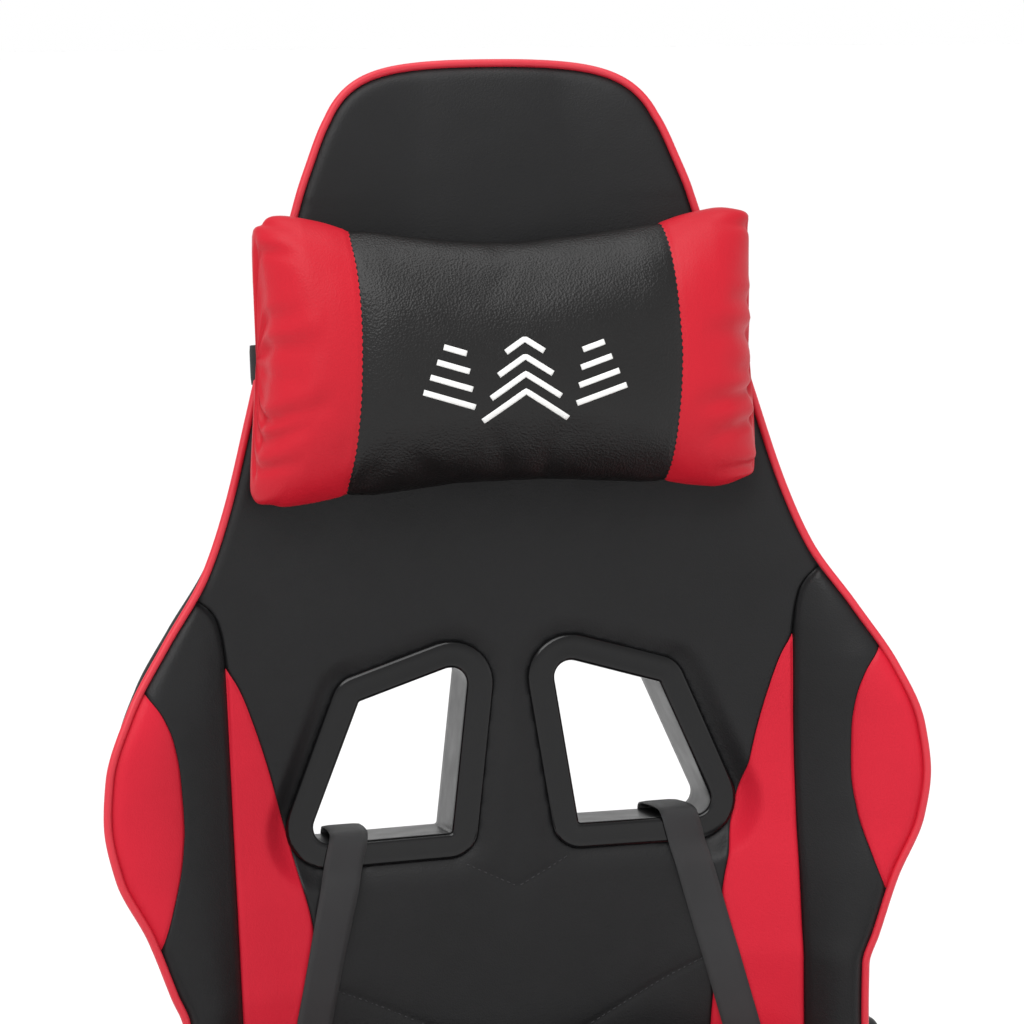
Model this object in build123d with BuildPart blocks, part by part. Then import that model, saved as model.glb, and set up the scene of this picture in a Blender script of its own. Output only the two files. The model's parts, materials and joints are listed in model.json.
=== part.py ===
"""Racing-style gaming chair: five-star base on twin-wheel casters, gas lift, rocking mechanism,
bucket seat, height-adjustable armrests and a reclining wing backrest with two harness openings.

Millimetres. +Z is up, the sitter faces -Y, +X is the sitter's left. The origin is on the floor,
on the swivel axis. The lift is at its lowest and the backrest leans 10 degrees."""

import os
from math import cos, radians, sin

from build123d import *

# ---------------------------------------------------------------- driving dimensions
WHEEL_R = 27.5
WHEEL_W = 18.0
WEB_T = 12.0                    # caster web between the two wheels
AXLE_R = 4.0
TRAIL = 20.0                    # axle behind the caster stem
STEM_R = 5.5
STEM_CIRCLE_R = 300.0
LEG_COUNT = 5
LEG_END_Z = 66.0                # underside of a leg at its caster
RUN = 0.05                      # radial clearance of a running fit

COLUMN_R = 25.0
COLUMN_Z0, COLUMN_Z1 = 62.0, 252.0
HUB_TOP_Z = 150.0
GAS_R = 14.0
GAS_Z0, GAS_Z1 = 105.0, 300.0
LIFT = 85.0

MECH_FLOOR_Z = 288.0
MECH_HALF_X = 55.0
MECH_FRONT_Y, MECH_REAR_Y = -106.0, 68.0
SPRING_Y = -82.0
SHEET_T = 3.0
TILT_Y, TILT_Z = -45.0, 335.0
LEVER_Y, LEVER_Z = 8.0, 314.0     # height lever
LOCK_Y, LOCK_Z = 38.0, 306.0      # tilt lock

BOARD_Z0, BOARD_Z1 = 352.0, 364.0
SEAT_TOP_Z = 445.0
SEAT_INNER_X = 185.0
SEAT_OUTER_X = 240.0
SEAT_FRONT_Y, SEAT_REAR_Y = -290.0, 118.0
CUSHION_REAR_Y = 148.0      # the middle of the seat reaches back under the backrest

PIVOT_Y, PIVOT_Z = 175.0, 466.0
RECLINE = radians(10)
BACK_BOTTOM_V = -14.0
BACK_THICK = 45.0               # foam behind the flat middle of the backrest
PANEL_T = 8.0
WING_X = 188.3                  # seam between the middle panel and a wing
FLAT_X = 165.0                  # the middle panel is flat out to here, then rises to the seam
SEAM_W = 22.0
WING_W = 68.0                   # how far the wing's edge stands forward
WING_EDGE_X = 267.0
TUBE_R = 9.5
CROSS_R = 5.0
STUB_R = 7.0
SLEEVE_T = 3.0
FLANGE = 18.5
FLANGE_T = 6.0

HINGE_X = 228.0                 # inner face of the steel arm beside the backrest
PLATE_T = 5.0
BRACKET_X = 243.5               # inner face of the fixed bracket
PIN_R = 8.0
STUB_V = (48.0, 105.0)          # welded stubs that carry the arm

LATCH_Y, LATCH_Z = 128.0, 417.0  # pivot of the recline lever

ARM_X = 277.0
ARM_Y = -30.0
POST = (14.0, 44.0)             # armrest post, X by Y
ARM_TRAVEL = 70.0

BAND_W, BAND_T = 25.0, 2.0      # elastic webbing

SIDES = (("right", -1), ("left", 1))   # the sitter's right and left


# ---------------------------------------------------------------- planes
def back_plane(w=0.0):
    """A plane across the backrest, w in front of the flat middle of its upholstery."""
    base = Plane((0, PIVOT_Y, PIVOT_Z), (1, 0, 0), (0, -cos(RECLINE), sin(RECLINE)))
    return base.offset(w)


def side_plane(x):
    """A plane square to X: local x runs back (+Y) and local y runs up."""
    return Plane((x, 0, 0), (0, 1, 0), (1, 0, 0))


def back_side_plane(x):
    """A plane square to X at the pivot: local x runs up the backrest and local y forwards."""
    return Plane((x, PIVOT_Y, PIVOT_Z), (0, sin(RECLINE), cos(RECLINE)), (1, 0, 0))


def write(part, name):
    part.label = name
    export_step(part, f"parts/{name}.step")


def heading(i):
    """Direction of leg i in degrees; the first leg points forwards."""
    return -90 + i * 360 / LEG_COUNT


# ---------------------------------------------------------------- base
def leg_blank(half_w, drop, lift):
    """One tapered leg along +X; drop lowers its top and lift raises its underside."""
    hub_x, end_x = 20.0, STEM_CIRCLE_R
    with BuildPart() as leg:
        with BuildSketch(Plane.XZ) as _:
            with BuildLine():
                Polyline(
                    (hub_x, 74 - lift), (hub_x, 142 - drop), (95, 136 - drop),
                    (end_x, 94 - drop), (end_x, LEG_END_Z - lift), (120, 78 - lift), close=True)
            make_face()
        extrude(amount=60, both=True)
        with BuildSketch(Plane.XY) as _:
            with BuildLine():
                Polyline((0, -half_w), (end_x, -half_w * 0.62), (end_x, half_w * 0.62), (0, half_w), close=True)
            make_face()
        extrude(amount=200, mode=Mode.INTERSECT)
    return leg.part


def base_star():
    hollow = leg_blank(21, 6, 30)
    solid_leg = leg_blank(27, 0, 0)
    with BuildPart() as base:
        with BuildSketch(Plane.XZ) as _:
            with BuildLine():
                Polyline((0, 60), (52, 60), (52, 84), (38, HUB_TOP_Z - 4), (35, HUB_TOP_Z), (0, HUB_TOP_Z), close=True)
            make_face()
        revolve(axis=Axis.Z)
        for i in range(LEG_COUNT):
            turn = Location((0, 0, 0), (0, 0, heading(i)))
            add(solid_leg.moved(turn))
        for i in range(LEG_COUNT):
            turn = Location((0, 0, 0), (0, 0, heading(i)))
            with BuildPart(mode=Mode.PRIVATE) as channel:
                add(hollow)
                with Locations((STEM_CIRCLE_R, 0, 80)):
                    Cylinder(20, 120, mode=Mode.SUBTRACT)
                with Locations((0, 0, 100)):
                    Cylinder(48, 200, mode=Mode.SUBTRACT)
            add(channel.part.moved(turn), mode=Mode.SUBTRACT)
        with BuildSketch(Plane.XY.offset(LEG_END_Z)) as _:
            with PolarLocations(STEM_CIRCLE_R, LEG_COUNT, start_angle=heading(0)):
                Circle(17)
        extrude(amount=29)
        with BuildSketch(Plane.XY.offset(LEG_END_Z)) as _:
            with PolarLocations(STEM_CIRCLE_R, LEG_COUNT, start_angle=heading(0)):
                Circle(STEM_R)
        extrude(amount=24, mode=Mode.SUBTRACT)
        with Locations((0, 0, 100)):
            Cylinder(COLUMN_R, 200, mode=Mode.SUBTRACT)
    write(base.part, "base_star")


def caster_frame(i):
    """Where caster i stands: its stem axis on the floor, turned so that the wheels trail."""
    angle = radians(heading(i))
    trail_turn = heading(i) + 205
    return Location((STEM_CIRCLE_R * cos(angle), STEM_CIRCLE_R * sin(angle), 0), (0, 0, trail_turn))


def caster_housing():
    """Fork web, mudguard hood and the boss that turns on the stem."""
    hood_in, hood_out = WHEEL_R + 2.0, WHEEL_R + 4.5
    hood_w = WEB_T + 2 * WHEEL_W + 2
    with BuildPart() as housing:
        with BuildSketch(Plane.XZ) as _:
            with Locations((TRAIL, WHEEL_R)):
                Circle(WHEEL_R - 5)
            with BuildLine():
                Polyline((-11, 44), (-11, 62), (11, 62), (TRAIL + 18, 44), (TRAIL, 24), close=True)
            make_face()
        extrude(amount=WEB_T / 2, both=True)
        with BuildSketch(Plane.XZ) as _:
            with Locations((TRAIL, WHEEL_R)):
                Circle(hood_out)
                Circle(hood_in, mode=Mode.SUBTRACT)
                with Locations((0, -hood_out + 4)):
                    Rectangle(2 * hood_out, 2 * hood_out, mode=Mode.SUBTRACT)
        extrude(amount=hood_w / 2, both=True)
        with Locations((0, 0, 53)):
            Cylinder(11, 18)
        for side in (-1, 1):
            with Locations(Location((TRAIL, side * (WEB_T + WHEEL_W + 2) / 2, WHEEL_R), (90, 0, 0))):
                Cylinder(hood_in, WHEEL_W + 2, mode=Mode.SUBTRACT)
        with Locations((0, 0, 54)):
            Cylinder(STEM_R + RUN, 16, mode=Mode.SUBTRACT)
        with Locations(Location((TRAIL, 0, WHEEL_R), (90, 0, 0))):
            Cylinder(AXLE_R + RUN, 80, mode=Mode.SUBTRACT)
    return housing.part


def caster_wheels():
    """Twin moulded wheels with rounded treads and dished faces, pressed on one steel axle."""
    inner = WEB_T / 2 + 1
    outer = inner + WHEEL_W
    with BuildPart() as wheels:
        with BuildSketch(Plane.YZ) as _:
            with BuildLine():
                Polyline((0, 0), (0, AXLE_R), (inner, AXLE_R), (inner, WHEEL_R - 3), (inner + 3, WHEEL_R),
                         (outer - 4, WHEEL_R), (outer, WHEEL_R - 5), (outer, WHEEL_R - 7),
                         (outer - 3, WHEEL_R - 9), (outer - 3, 9), (outer, 7), (outer, 0), close=True)
            make_face()
        revolve(axis=Axis.Y)
        mirror(about=Plane.XZ)
    return wheels.part.moved(Location((TRAIL, 0, WHEEL_R)))


def casters():
    housing, wheels = caster_housing(), caster_wheels()
    for i in range(LEG_COUNT):
        at = caster_frame(i)
        write(housing.moved(at), f"caster_housing_{i + 1}")
        write(wheels.moved(at), f"caster_wheels_{i + 1}")
    with BuildPart() as stems:
        with BuildSketch(Plane.XY.offset(46)) as _:
            with PolarLocations(STEM_CIRCLE_R, LEG_COUNT, start_angle=heading(0)):
                Circle(STEM_R)
        extrude(amount=42)
    write(stems.part, "caster_stems")


# ---------------------------------------------------------------- gas lift
def ring(name, r_out, r_in, z0, z1):
    with BuildPart() as tube:
        with BuildSketch(Plane.XY.offset(z0)) as _:
            Circle(r_out)
            Circle(r_in, mode=Mode.SUBTRACT)
        extrude(amount=z1 - z0)
    write(tube.part, name)


def gas_lift():
    rod_r, head_z = 4.0, 275.0
    with BuildPart() as column:
        with BuildSketch(Plane.XY.offset(COLUMN_Z0)) as _:
            Circle(COLUMN_R)
        extrude(amount=COLUMN_Z1 - COLUMN_Z0)
        with BuildSketch(Plane.XY.offset(COLUMN_Z0 + 4)) as _:
            Circle(COLUMN_R - 2)
        extrude(amount=COLUMN_Z1 - COLUMN_Z0 - 4, mode=Mode.SUBTRACT)
        with BuildSketch(Plane.XY.offset(COLUMN_Z0)) as _:
            Circle(rod_r + RUN)
        extrude(amount=4, mode=Mode.SUBTRACT)
    write(column.part, "column_tube")
    ring("guide_bush", COLUMN_R - 2, GAS_R + RUN, COLUMN_Z1 - 55, COLUMN_Z1)
    ring("thrust_bearing", 12, rod_r + RUN, COLUMN_Z0 + 4, COLUMN_Z0 + 10)
    with BuildPart() as rod:
        with BuildSketch(Plane.XZ) as _:
            with BuildLine():
                Polyline((0, 56), (rod_r, 56), (rod_r, 72.05), (9, 72.05), (9, 76), (rod_r, 76), (rod_r, head_z),
                         (11.5, head_z), (11.5, head_z + 10), (0, head_z + 10), close=True)
            make_face()
        revolve(axis=Axis.Z)
    write(rod.part, "piston_rod")
    with BuildPart() as gas:
        with BuildSketch(Plane.XZ) as _:
            with BuildLine():
                Polyline((rod_r + RUN, GAS_Z0), (GAS_R, GAS_Z0), (GAS_R, GAS_Z1), (3 + RUN, GAS_Z1),
                         (3 + RUN, GAS_Z1 - 8), (12, GAS_Z1 - 8), (12, GAS_Z0 + 8), (rod_r + RUN, GAS_Z0 + 8), close=True)
            make_face()
        revolve(axis=Axis.Z)
    write(gas.part, "gas_cylinder")
    with BuildPart() as pin:
        with Locations((0, 0, 292.5)):
            Cylinder(3, 17, align=(Align.CENTER, Align.CENTER, Align.MIN))
    write(pin.part, "release_pin")
    ring("cover_sleeve_lower", 31.5, 29.5, HUB_TOP_Z, 235)
    ring("cover_sleeve_middle", 34.5, 32.5, 168, 260)
    ring("cover_sleeve_upper", 37.5, 35.5, 190, MECH_FLOOR_Z)


# ---------------------------------------------------------------- rocking mechanism
def mechanism():
    wall_x = MECH_HALF_X - SHEET_T
    front_y, rear_y = MECH_FRONT_Y, MECH_REAR_Y
    with BuildPart() as housing:
        with BuildSketch(side_plane(-MECH_HALF_X)) as _:
            with BuildLine():
                Polyline((front_y, MECH_FLOOR_Z), (front_y, 326), (-60, 342), (-40, 342), (rear_y, 312),
                         (rear_y, MECH_FLOOR_Z), close=True)
            make_face()
        extrude(amount=2 * MECH_HALF_X)
        with Locations((0, (front_y + rear_y) / 2, MECH_FLOOR_Z + SHEET_T)):
            Box(2 * wall_x, rear_y - front_y - 2 * SHEET_T, 80,
                align=(Align.CENTER, Align.CENTER, Align.MIN), mode=Mode.SUBTRACT)
        with Locations((0, 0, 258)):
            Cylinder(20, 40, align=(Align.CENTER, Align.CENTER, Align.MIN))
        with Locations((0, 0, 270)):
            Cylinder(GAS_R, 80, mode=Mode.SUBTRACT)
        with Locations((0, SPRING_Y, MECH_FLOOR_Z)):
            Cylinder(4 + RUN, 20, mode=Mode.SUBTRACT)
        with Locations(Location((0, TILT_Y, TILT_Z), (0, 90, 0))):
            Cylinder(5, 200, mode=Mode.SUBTRACT)
        with Locations(Location((-MECH_HALF_X, LEVER_Y, LEVER_Z), (0, 90, 0))):
            Cylinder(4 + RUN, 20, mode=Mode.SUBTRACT)
        with Locations(Location((MECH_HALF_X, LOCK_Y, LOCK_Z), (0, 90, 0))):
            Cylinder(4 + RUN, 20, mode=Mode.SUBTRACT)
    write(housing.part, "mechanism_housing")

    with BuildPart() as pin:
        with Locations(Location((0, TILT_Y, TILT_Z), (0, 90, 0))):
            Cylinder(5, 130)
    write(pin.part, "tilt_pin")

    with BuildPart() as plate:
        with BuildSketch(Plane.XY.offset(BOARD_Z0 - 4)) as _:
            with Locations((0, 5)):
                RectangleRounded(176, 160, 12)
                with GridLocations(150, 125, 2, 2):
                    Circle(4.1, mode=Mode.SUBTRACT)
        extrude(amount=4)
        for side in (-1, 1):
            with BuildSketch(side_plane(side * 58).offset(-2)) as _:
                with Locations((TILT_Y, TILT_Z)):
                    Circle(12)
                    with Locations((0, 7)):
                        Rectangle(24, 14)
                    Circle(5 + RUN, mode=Mode.SUBTRACT)
            extrude(amount=4)
    write(plate.part, "seat_plate")

    # a cranked rod whose inner end lies over the release pin, with a grip at the sitter's right
    with BuildPart() as lever:
        with Locations(Location((-4, LEVER_Y - 8, LEVER_Z), (0, -90, 0))):
            Cylinder(4, 36, align=(Align.CENTER, Align.CENTER, Align.MIN))
        with Locations((-36, LEVER_Y - 4, LEVER_Z)):
            Box(8, 16, 8)
        with Locations(Location((-32, LEVER_Y, LEVER_Z), (0, -90, 0))):
            Cylinder(4, 145, align=(Align.CENTER, Align.CENTER, Align.MIN))
        with BuildPart(mode=Mode.PRIVATE) as grip:
            with Locations((-207, LEVER_Y, LEVER_Z)):
                Box(70, 26, 11)
            fillet(grip.edges().filter_by(Axis.Z), 10)
            fillet(grip.edges().group_by(Axis.Z)[-1] + grip.edges().group_by(Axis.Z)[0], 3)
        add(grip.part)
    write(lever.part, "height_lever")

    with BuildPart() as lock:
        with Locations(Location((30, LOCK_Y, LOCK_Z), (0, 90, 0))):
            Cylinder(4, 150, align=(Align.CENTER, Align.CENTER, Align.MIN))
        with Locations(Location((180, LOCK_Y, LOCK_Z), (0, 90, 0))):
            Cylinder(9, 34, align=(Align.CENTER, Align.CENTER, Align.MIN))
        fillet(lock.edges().filter_by(GeomType.CIRCLE).group_by(SortBy.RADIUS)[-1], 3)
    write(lock.part, "tilt_lock_lever")


def tension_unit():
    """Rocking spring under the front of the housing, on the bolt of the hand knob below it."""
    spring_r, wire_r = 14.0, 2.5
    cap_z, cap_t = 222.0, 4.0
    turns = 6
    rise = MECH_FLOOR_Z - cap_z - cap_t - 2 * wire_r - 0.2
    with BuildPart() as spring:
        with BuildLine() as path:
            Helix(rise / turns, rise, spring_r)
        with BuildSketch(Plane(path.line @ 0, z_dir=path.line % 0)) as _:
            Circle(wire_r)
        sweep(is_frenet=True)
    write(spring.part.moved(Location((0, SPRING_Y, cap_z + cap_t + wire_r + 0.1))), "tilt_spring")
    with BuildPart() as cup:
        with Locations((0, SPRING_Y, cap_z)):
            Cylinder(19, cap_t, align=(Align.CENTER, Align.CENTER, Align.MIN))
            Cylinder(4 + RUN, 20, mode=Mode.SUBTRACT)
    write(cup.part, "spring_cap")
    with BuildPart() as knob:
        with BuildSketch(Plane.XY.offset(196)) as _:
            with Locations((0, SPRING_Y)):
                Circle(24)
                with PolarLocations(26, 12):
                    Circle(3.5, mode=Mode.SUBTRACT)
        extrude(amount=cap_z - 1 - 196)
        chamfer(knob.edges().group_by(Axis.Z)[0], 2)
        with Locations((0, SPRING_Y, 200)):
            Cylinder(4, 94, align=(Align.CENTER, Align.CENTER, Align.MIN))
    write(knob.part, "tension_knob")


# ---------------------------------------------------------------- seat
def seat():
    depth = SEAT_REAR_Y - SEAT_FRONT_Y
    mid_y = (SEAT_REAR_Y + SEAT_FRONT_Y) / 2
    with BuildPart() as board:
        with BuildSketch(Plane.XY.offset(BOARD_Z0)) as _:
            with Locations((0, mid_y)):
                RectangleRounded(400, depth - 24, 30)
            with Locations((0, 5)):
                with GridLocations(150, 125, 2, 2):
                    Circle(4.1, mode=Mode.SUBTRACT)
        extrude(amount=BOARD_Z1 - BOARD_Z0)
    write(board.part, "seat_board")

    with BuildPart() as cushion:
        with BuildSketch(side_plane(-SEAT_INNER_X + 0.3)) as _:
            with BuildLine():
                Polyline((SEAT_FRONT_Y, BOARD_Z1), (SEAT_FRONT_Y, SEAT_TOP_Z), (CUSHION_REAR_Y, SEAT_TOP_Z),
                         (CUSHION_REAR_Y, 392), (SEAT_REAR_Y, BOARD_Z1), close=True)
            make_face()
        extrude(amount=2 * SEAT_INNER_X - 0.6)
        fillet(cushion.edges().filter_by(Axis.X).group_by(Axis.Z)[-1].sort_by(Axis.Y)[0], 38)
        fillet(cushion.edges().filter_by(Axis.X).group_by(Axis.Z)[-1].sort_by(Axis.Y)[-1], 16)
    write(cushion.part, "seat_cushion")

    for name, side in SIDES:
        with BuildPart() as bolster:
            with BuildSketch(Plane((0, SEAT_FRONT_Y, 0), (1, 0, 0), (0, -1, 0))) as _:
                with BuildLine():
                    Polyline(*[(side * x, z) for x, z in (
                        (SEAT_INNER_X, BOARD_Z1), (SEAT_INNER_X, SEAT_TOP_Z), (202, 472), (220, 480),
                        (SEAT_OUTER_X, 462), (SEAT_OUTER_X, BOARD_Z0), (201, BOARD_Z0), (201, BOARD_Z1))], close=True)
                make_face()
            extrude(amount=-depth)
            front_top = bolster.edges().group_by(Axis.Y)[0].filter_by(Plane.XZ).group_by(Axis.Z)[-1]
            chamfer(front_top, 30)
        write(bolster.part, f"seat_bolster_{name}")


def seat_bolts(groups):
    """Hex-headed bolts under the seat; each group is (spots, head z, shank end z)."""
    head_h = 4.0
    with BuildPart() as bolts:
        for spots, head_z, shank_z in groups:
            with BuildSketch(Plane.XY.offset(head_z)) as _:
                with Locations(*spots):
                    RegularPolygon(6.5, 6)
            extrude(amount=head_h)
            with BuildSketch(Plane.XY.offset(head_z + head_h)) as _:
                with Locations(*spots):
                    Circle(4)
            extrude(amount=shank_z - head_z - head_h)
    write(bolts.part, "seat_bolts")


def hinge_brackets():
    """Steel brackets under the seat board that rise beside the backrest, and their plastic covers."""
    foot_x, outer_x = 130.0, BRACKET_X + PLATE_T
    spots = [(side * x, y) for _, side in SIDES for x in (150, 185) for y in (80, 115)]
    with BuildPart() as brackets:
        for _, side in SIDES:
            with BuildSketch(side_plane(side * BRACKET_X)) as _:
                with BuildLine():
                    Polyline((66, BOARD_Z0 - PLATE_T), (132, BOARD_Z0 - PLATE_T), (207, 440),
                             (207, PIVOT_Z), (143, PIVOT_Z), close=True)
                make_face()
                with Locations((PIVOT_Y, PIVOT_Z)):
                    Circle(33)
            extrude(amount=side * PLATE_T)
            with BuildSketch(Plane.XY.offset(BOARD_Z0 - PLATE_T)) as _:
                with Locations((side * (foot_x + outer_x) / 2, 98)):
                    Rectangle(outer_x - foot_x, 64)
            extrude(amount=PLATE_T)
        with BuildSketch(Plane.XY.offset(BOARD_Z0 - PLATE_T)) as _:
            with Locations(*spots):
                Circle(4.1)
        extrude(amount=PLATE_T, mode=Mode.SUBTRACT)
        with Locations(Location((0, PIVOT_Y, PIVOT_Z), (0, 90, 0))):
            Cylinder(PIN_R, 600, mode=Mode.SUBTRACT)
        with Locations(Location((-BRACKET_X, LATCH_Y, LATCH_Z), (0, 90, 0))):
            Cylinder(5 + RUN, 40, mode=Mode.SUBTRACT)
    write(brackets.part, "hinge_brackets")

    cover_t, wall = 14.0, 2.5
    with BuildPart() as covers:
        for _, side in SIDES:
            with BuildSketch(side_plane(side * outer_x)) as outline:
                with BuildLine():
                    CenterArc((PIVOT_Y, PIVOT_Z), 44, 0, 360)
                    CenterArc((76, 356), 12, 0, 360)
                    CenterArc((124, 356), 12, 0, 360)
                make_hull()
            extrude(amount=side * cover_t)
            fillet(covers.faces().sort_by(Axis.X)[-1 if side > 0 else 0].edges(), 3)
            with BuildSketch(side_plane(side * outer_x)) as _:
                add(outline.sketch)
                offset(amount=-wall, mode=Mode.REPLACE)
            extrude(amount=side * (cover_t - wall), mode=Mode.SUBTRACT)
        with Locations(Location((-outer_x, LATCH_Y, LATCH_Z), (0, 90, 0))):
            Cylinder(5 + RUN, 40, mode=Mode.SUBTRACT)
    write(covers.part, "hinge_covers")
    return spots


def recliner_units():
    """The round locking units between the arms and the brackets, with the pins the arms turn on."""
    start = HINGE_X + PLATE_T + 0.3
    with BuildPart() as units:
        for _, side in SIDES:
            with Locations(Location((side * start, PIVOT_Y, PIVOT_Z), (0, side * 90, 0))):
                Cylinder(29, BRACKET_X - start, align=(Align.CENTER, Align.CENTER, Align.MIN))
            with Locations(Location((side * 226, PIVOT_Y, PIVOT_Z), (0, side * 90, 0))):
                Cylinder(PIN_R, BRACKET_X + PLATE_T - 226, align=(Align.CENTER, Align.CENTER, Align.MIN))
        chamfer(units.edges().filter_by(GeomType.CIRCLE).group_by(SortBy.RADIUS)[-1], 1.5)
    write(units.part, "recliner_units")


def recline_lever():
    """Hand lever at the sitter's right, outside the bracket's cover, with a moulded grip."""
    plate_x, plate_t = -263.3, 4.0
    with BuildPart() as lever:
        with BuildSketch(side_plane(plate_x)) as _:
            with BuildLine():
                Polyline((128, 428), (40, 414), (40, 402), (128, 406), close=True)
            make_face()
            with Locations((LATCH_Y, LATCH_Z)):
                Circle(13)
        extrude(amount=-plate_t)
        with Locations(Location((plate_x, LATCH_Y, LATCH_Z), (0, 90, 0))):
            Cylinder(5, -plate_x - BRACKET_X, align=(Align.CENTER, Align.CENTER, Align.MIN))
        with BuildPart(mode=Mode.PRIVATE) as grip:
            with BuildSketch(side_plane(plate_x + 8)) as _:
                with BuildLine():
                    Polyline((70, 421), (14, 412), (8, 402), (14, 394), (70, 399), close=True)
                make_face()
            extrude(amount=-20)
            fillet(grip.edges().filter_by(Axis.X), 4)
        add(grip.part)
    write(lever.part, "recline_lever")


# ---------------------------------------------------------------- armrests
def armrests():
    sleeve = (26.0, 60.0)
    sleeve_z1, pad_z = 520.0, 600.0
    pad_t, pad_l, pad_w = 30.0, 225.0, 85.0
    pad_mid_y = -52.5
    button_z, button_r, button_l = 488.0, 7.0, 5.8
    spots = []
    for _, side in SIDES:
        spots += [(side * 150, ARM_Y - 18), (side * 150, ARM_Y + 18), (side * 185, ARM_Y)]
    foot_in, foot_out = 130.0, ARM_X + sleeve[0] / 2
    centres = [(side * ARM_X, ARM_Y) for _, side in SIDES]

    with BuildPart() as feet:
        with BuildSketch(Plane.XY.offset(BOARD_Z0 - PLATE_T)) as _:
            with Locations(*[(side * (foot_in + foot_out) / 2, ARM_Y) for _, side in SIDES]):
                Rectangle(foot_out - foot_in, sleeve[1])
            with Locations(*spots):
                Circle(4.1, mode=Mode.SUBTRACT)
        extrude(amount=PLATE_T)
    write(feet.part, "armrest_feet")

    with BuildPart() as tubes:
        with BuildSketch(Plane.XY.offset(BOARD_Z0)) as _:
            with Locations(*centres):
                RectangleRounded(*sleeve, 9)
        extrude(amount=sleeve_z1 - BOARD_Z0)
        fillet(tubes.edges().group_by(Axis.Z)[-1], 3)
        with BuildSketch(Plane.XY.offset(BOARD_Z0 + 6)) as _:
            with Locations(*centres):
                Rectangle(*POST)
        extrude(amount=sleeve_z1, mode=Mode.SUBTRACT)
        for _, side in SIDES:
            with Locations(Location((side * (ARM_X + 5), ARM_Y, button_z), (0, side * 90, 0))):
                Cylinder(button_r + RUN, 20, align=(Align.CENTER, Align.CENTER, Align.MIN), mode=Mode.SUBTRACT)
    write(tubes.part, "armrest_sleeves")

    for name, side in SIDES:
        with BuildPart() as button:
            with Locations(Location((side * (ARM_X + POST[0] / 2 + 4.2), ARM_Y, button_z), (0, side * 90, 0))):
                Cylinder(button_r, button_l, align=(Align.CENTER, Align.CENTER, Align.MIN))
        write(button.part, f"armrest_button_{name}")

        with BuildPart() as post:
            with BuildSketch(Plane.XY.offset(BOARD_Z0 + 16)) as _:
                with Locations((side * ARM_X, ARM_Y)):
                    Rectangle(POST[0] - 0.2, POST[1] - 0.2)
            extrude(amount=pad_z - BOARD_Z0 - 16)
            with BuildSketch(Plane.XY.offset(pad_z - 5)) as _:
                with Locations((side * ARM_X, ARM_Y - 20)):
                    RectangleRounded(56, 130, 12)
            extrude(amount=5)
        write(post.part, f"armrest_post_{name}")

        with BuildPart() as pad:
            with BuildSketch(Plane.XY.offset(pad_z)) as _:
                with Locations((side * ARM_X, pad_mid_y)):
                    RectangleRounded(pad_w, pad_l, 30)
            extrude(amount=pad_t)
            fillet(pad.faces().sort_by(Axis.Z)[-1].edges(), 9)
        write(pad.part, f"armrest_pad_{name}")
    return spots


# ---------------------------------------------------------------- backrest
def back_outline():
    """Closed outline of the backrest in its own plane: wings, waist, neck and rounded head."""
    with BuildLine() as line:
        Polyline((0, BACK_BOTTOM_V), (204, BACK_BOTTOM_V))
        ThreePointArc((204, BACK_BOTTOM_V), (216.5, BACK_BOTTOM_V + 5.5), (222, 4))
        Line((222, 4), (222, 160))
        Spline((222, 160), (234, 224), (255, 273), (265, 318), (257, 366), (224, 425), (193, 475), (178, 520),
               tangents=[(0, 1), (-0.28, 1)])
        Line((178, 520), (129, 695))
        Spline((129, 695), (111, 742), (96, 770), (60, 784), (0, 788), tangents=[(-0.28, 1), (-1, 0)])
        mirror(about=Plane.YZ)
    return line


def hole_sketch(side, grow):
    """A harness opening, four-cornered with two soft corners, grown outwards by grow."""
    with BuildSketch() as hole:
        with BuildLine():
            Polyline(*[(side * x, v) for x, v in ((27.5, 397.5), (102, 374), (141, 281), (43.5, 282))], close=True)
        make_face()
        by_v = hole.vertices().sort_by(Axis.Y)
        top_inner = by_v[-1]
        bottom_outer = by_v[0]
        fillet([top_inner, bottom_outer], 11)
        sharp = [v for v in hole.vertices() if abs(abs(v.X) - 102) < 0.1 or abs(abs(v.X) - 43.5) < 0.1]
        fillet(sharp, 2)
        if grow:
            offset(amount=grow)
    return hole.sketch


def frame_path():
    """Centre line of the steel tube inside the backrest, right half first."""
    return [(172, 20), (172, 440), (118, 560), (90, 728), (-90, 728), (-118, 560), (-172, 440), (-172, 20)]


def back_frame():
    mid_w = -BACK_THICK + 11.0
    cross_v = (20.0, 228.0, 470.0)
    reach = HINGE_X
    with BuildPart() as frame:
        with BuildLine(back_plane(mid_w)) as path:
            FilletPolyline(*frame_path(), radius=28, close=True)
        with BuildSketch(Plane(path.line @ 0, z_dir=path.line % 0)) as _:
            Circle(TUBE_R)
            Circle(TUBE_R - 1.5, mode=Mode.SUBTRACT)
        sweep()
        for v in cross_v[1:]:
            half = 172 if v < 440 else 158
            with Locations(back_plane(mid_w).location * Location((-half, v, 0), (0, 90, 0))):
                Cylinder(CROSS_R, 2 * half, align=(Align.CENTER, Align.CENTER, Align.MIN))
        for v in STUB_V:
            for side in (-1, 1):
                with Locations(back_plane(mid_w).location * Location((side * 172, v, 0), (0, side * 90, 0))):
                    Cylinder(STUB_R, reach - 172, align=(Align.CENTER, Align.CENTER, Align.MIN))
    write(frame.part, "back_frame")


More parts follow.
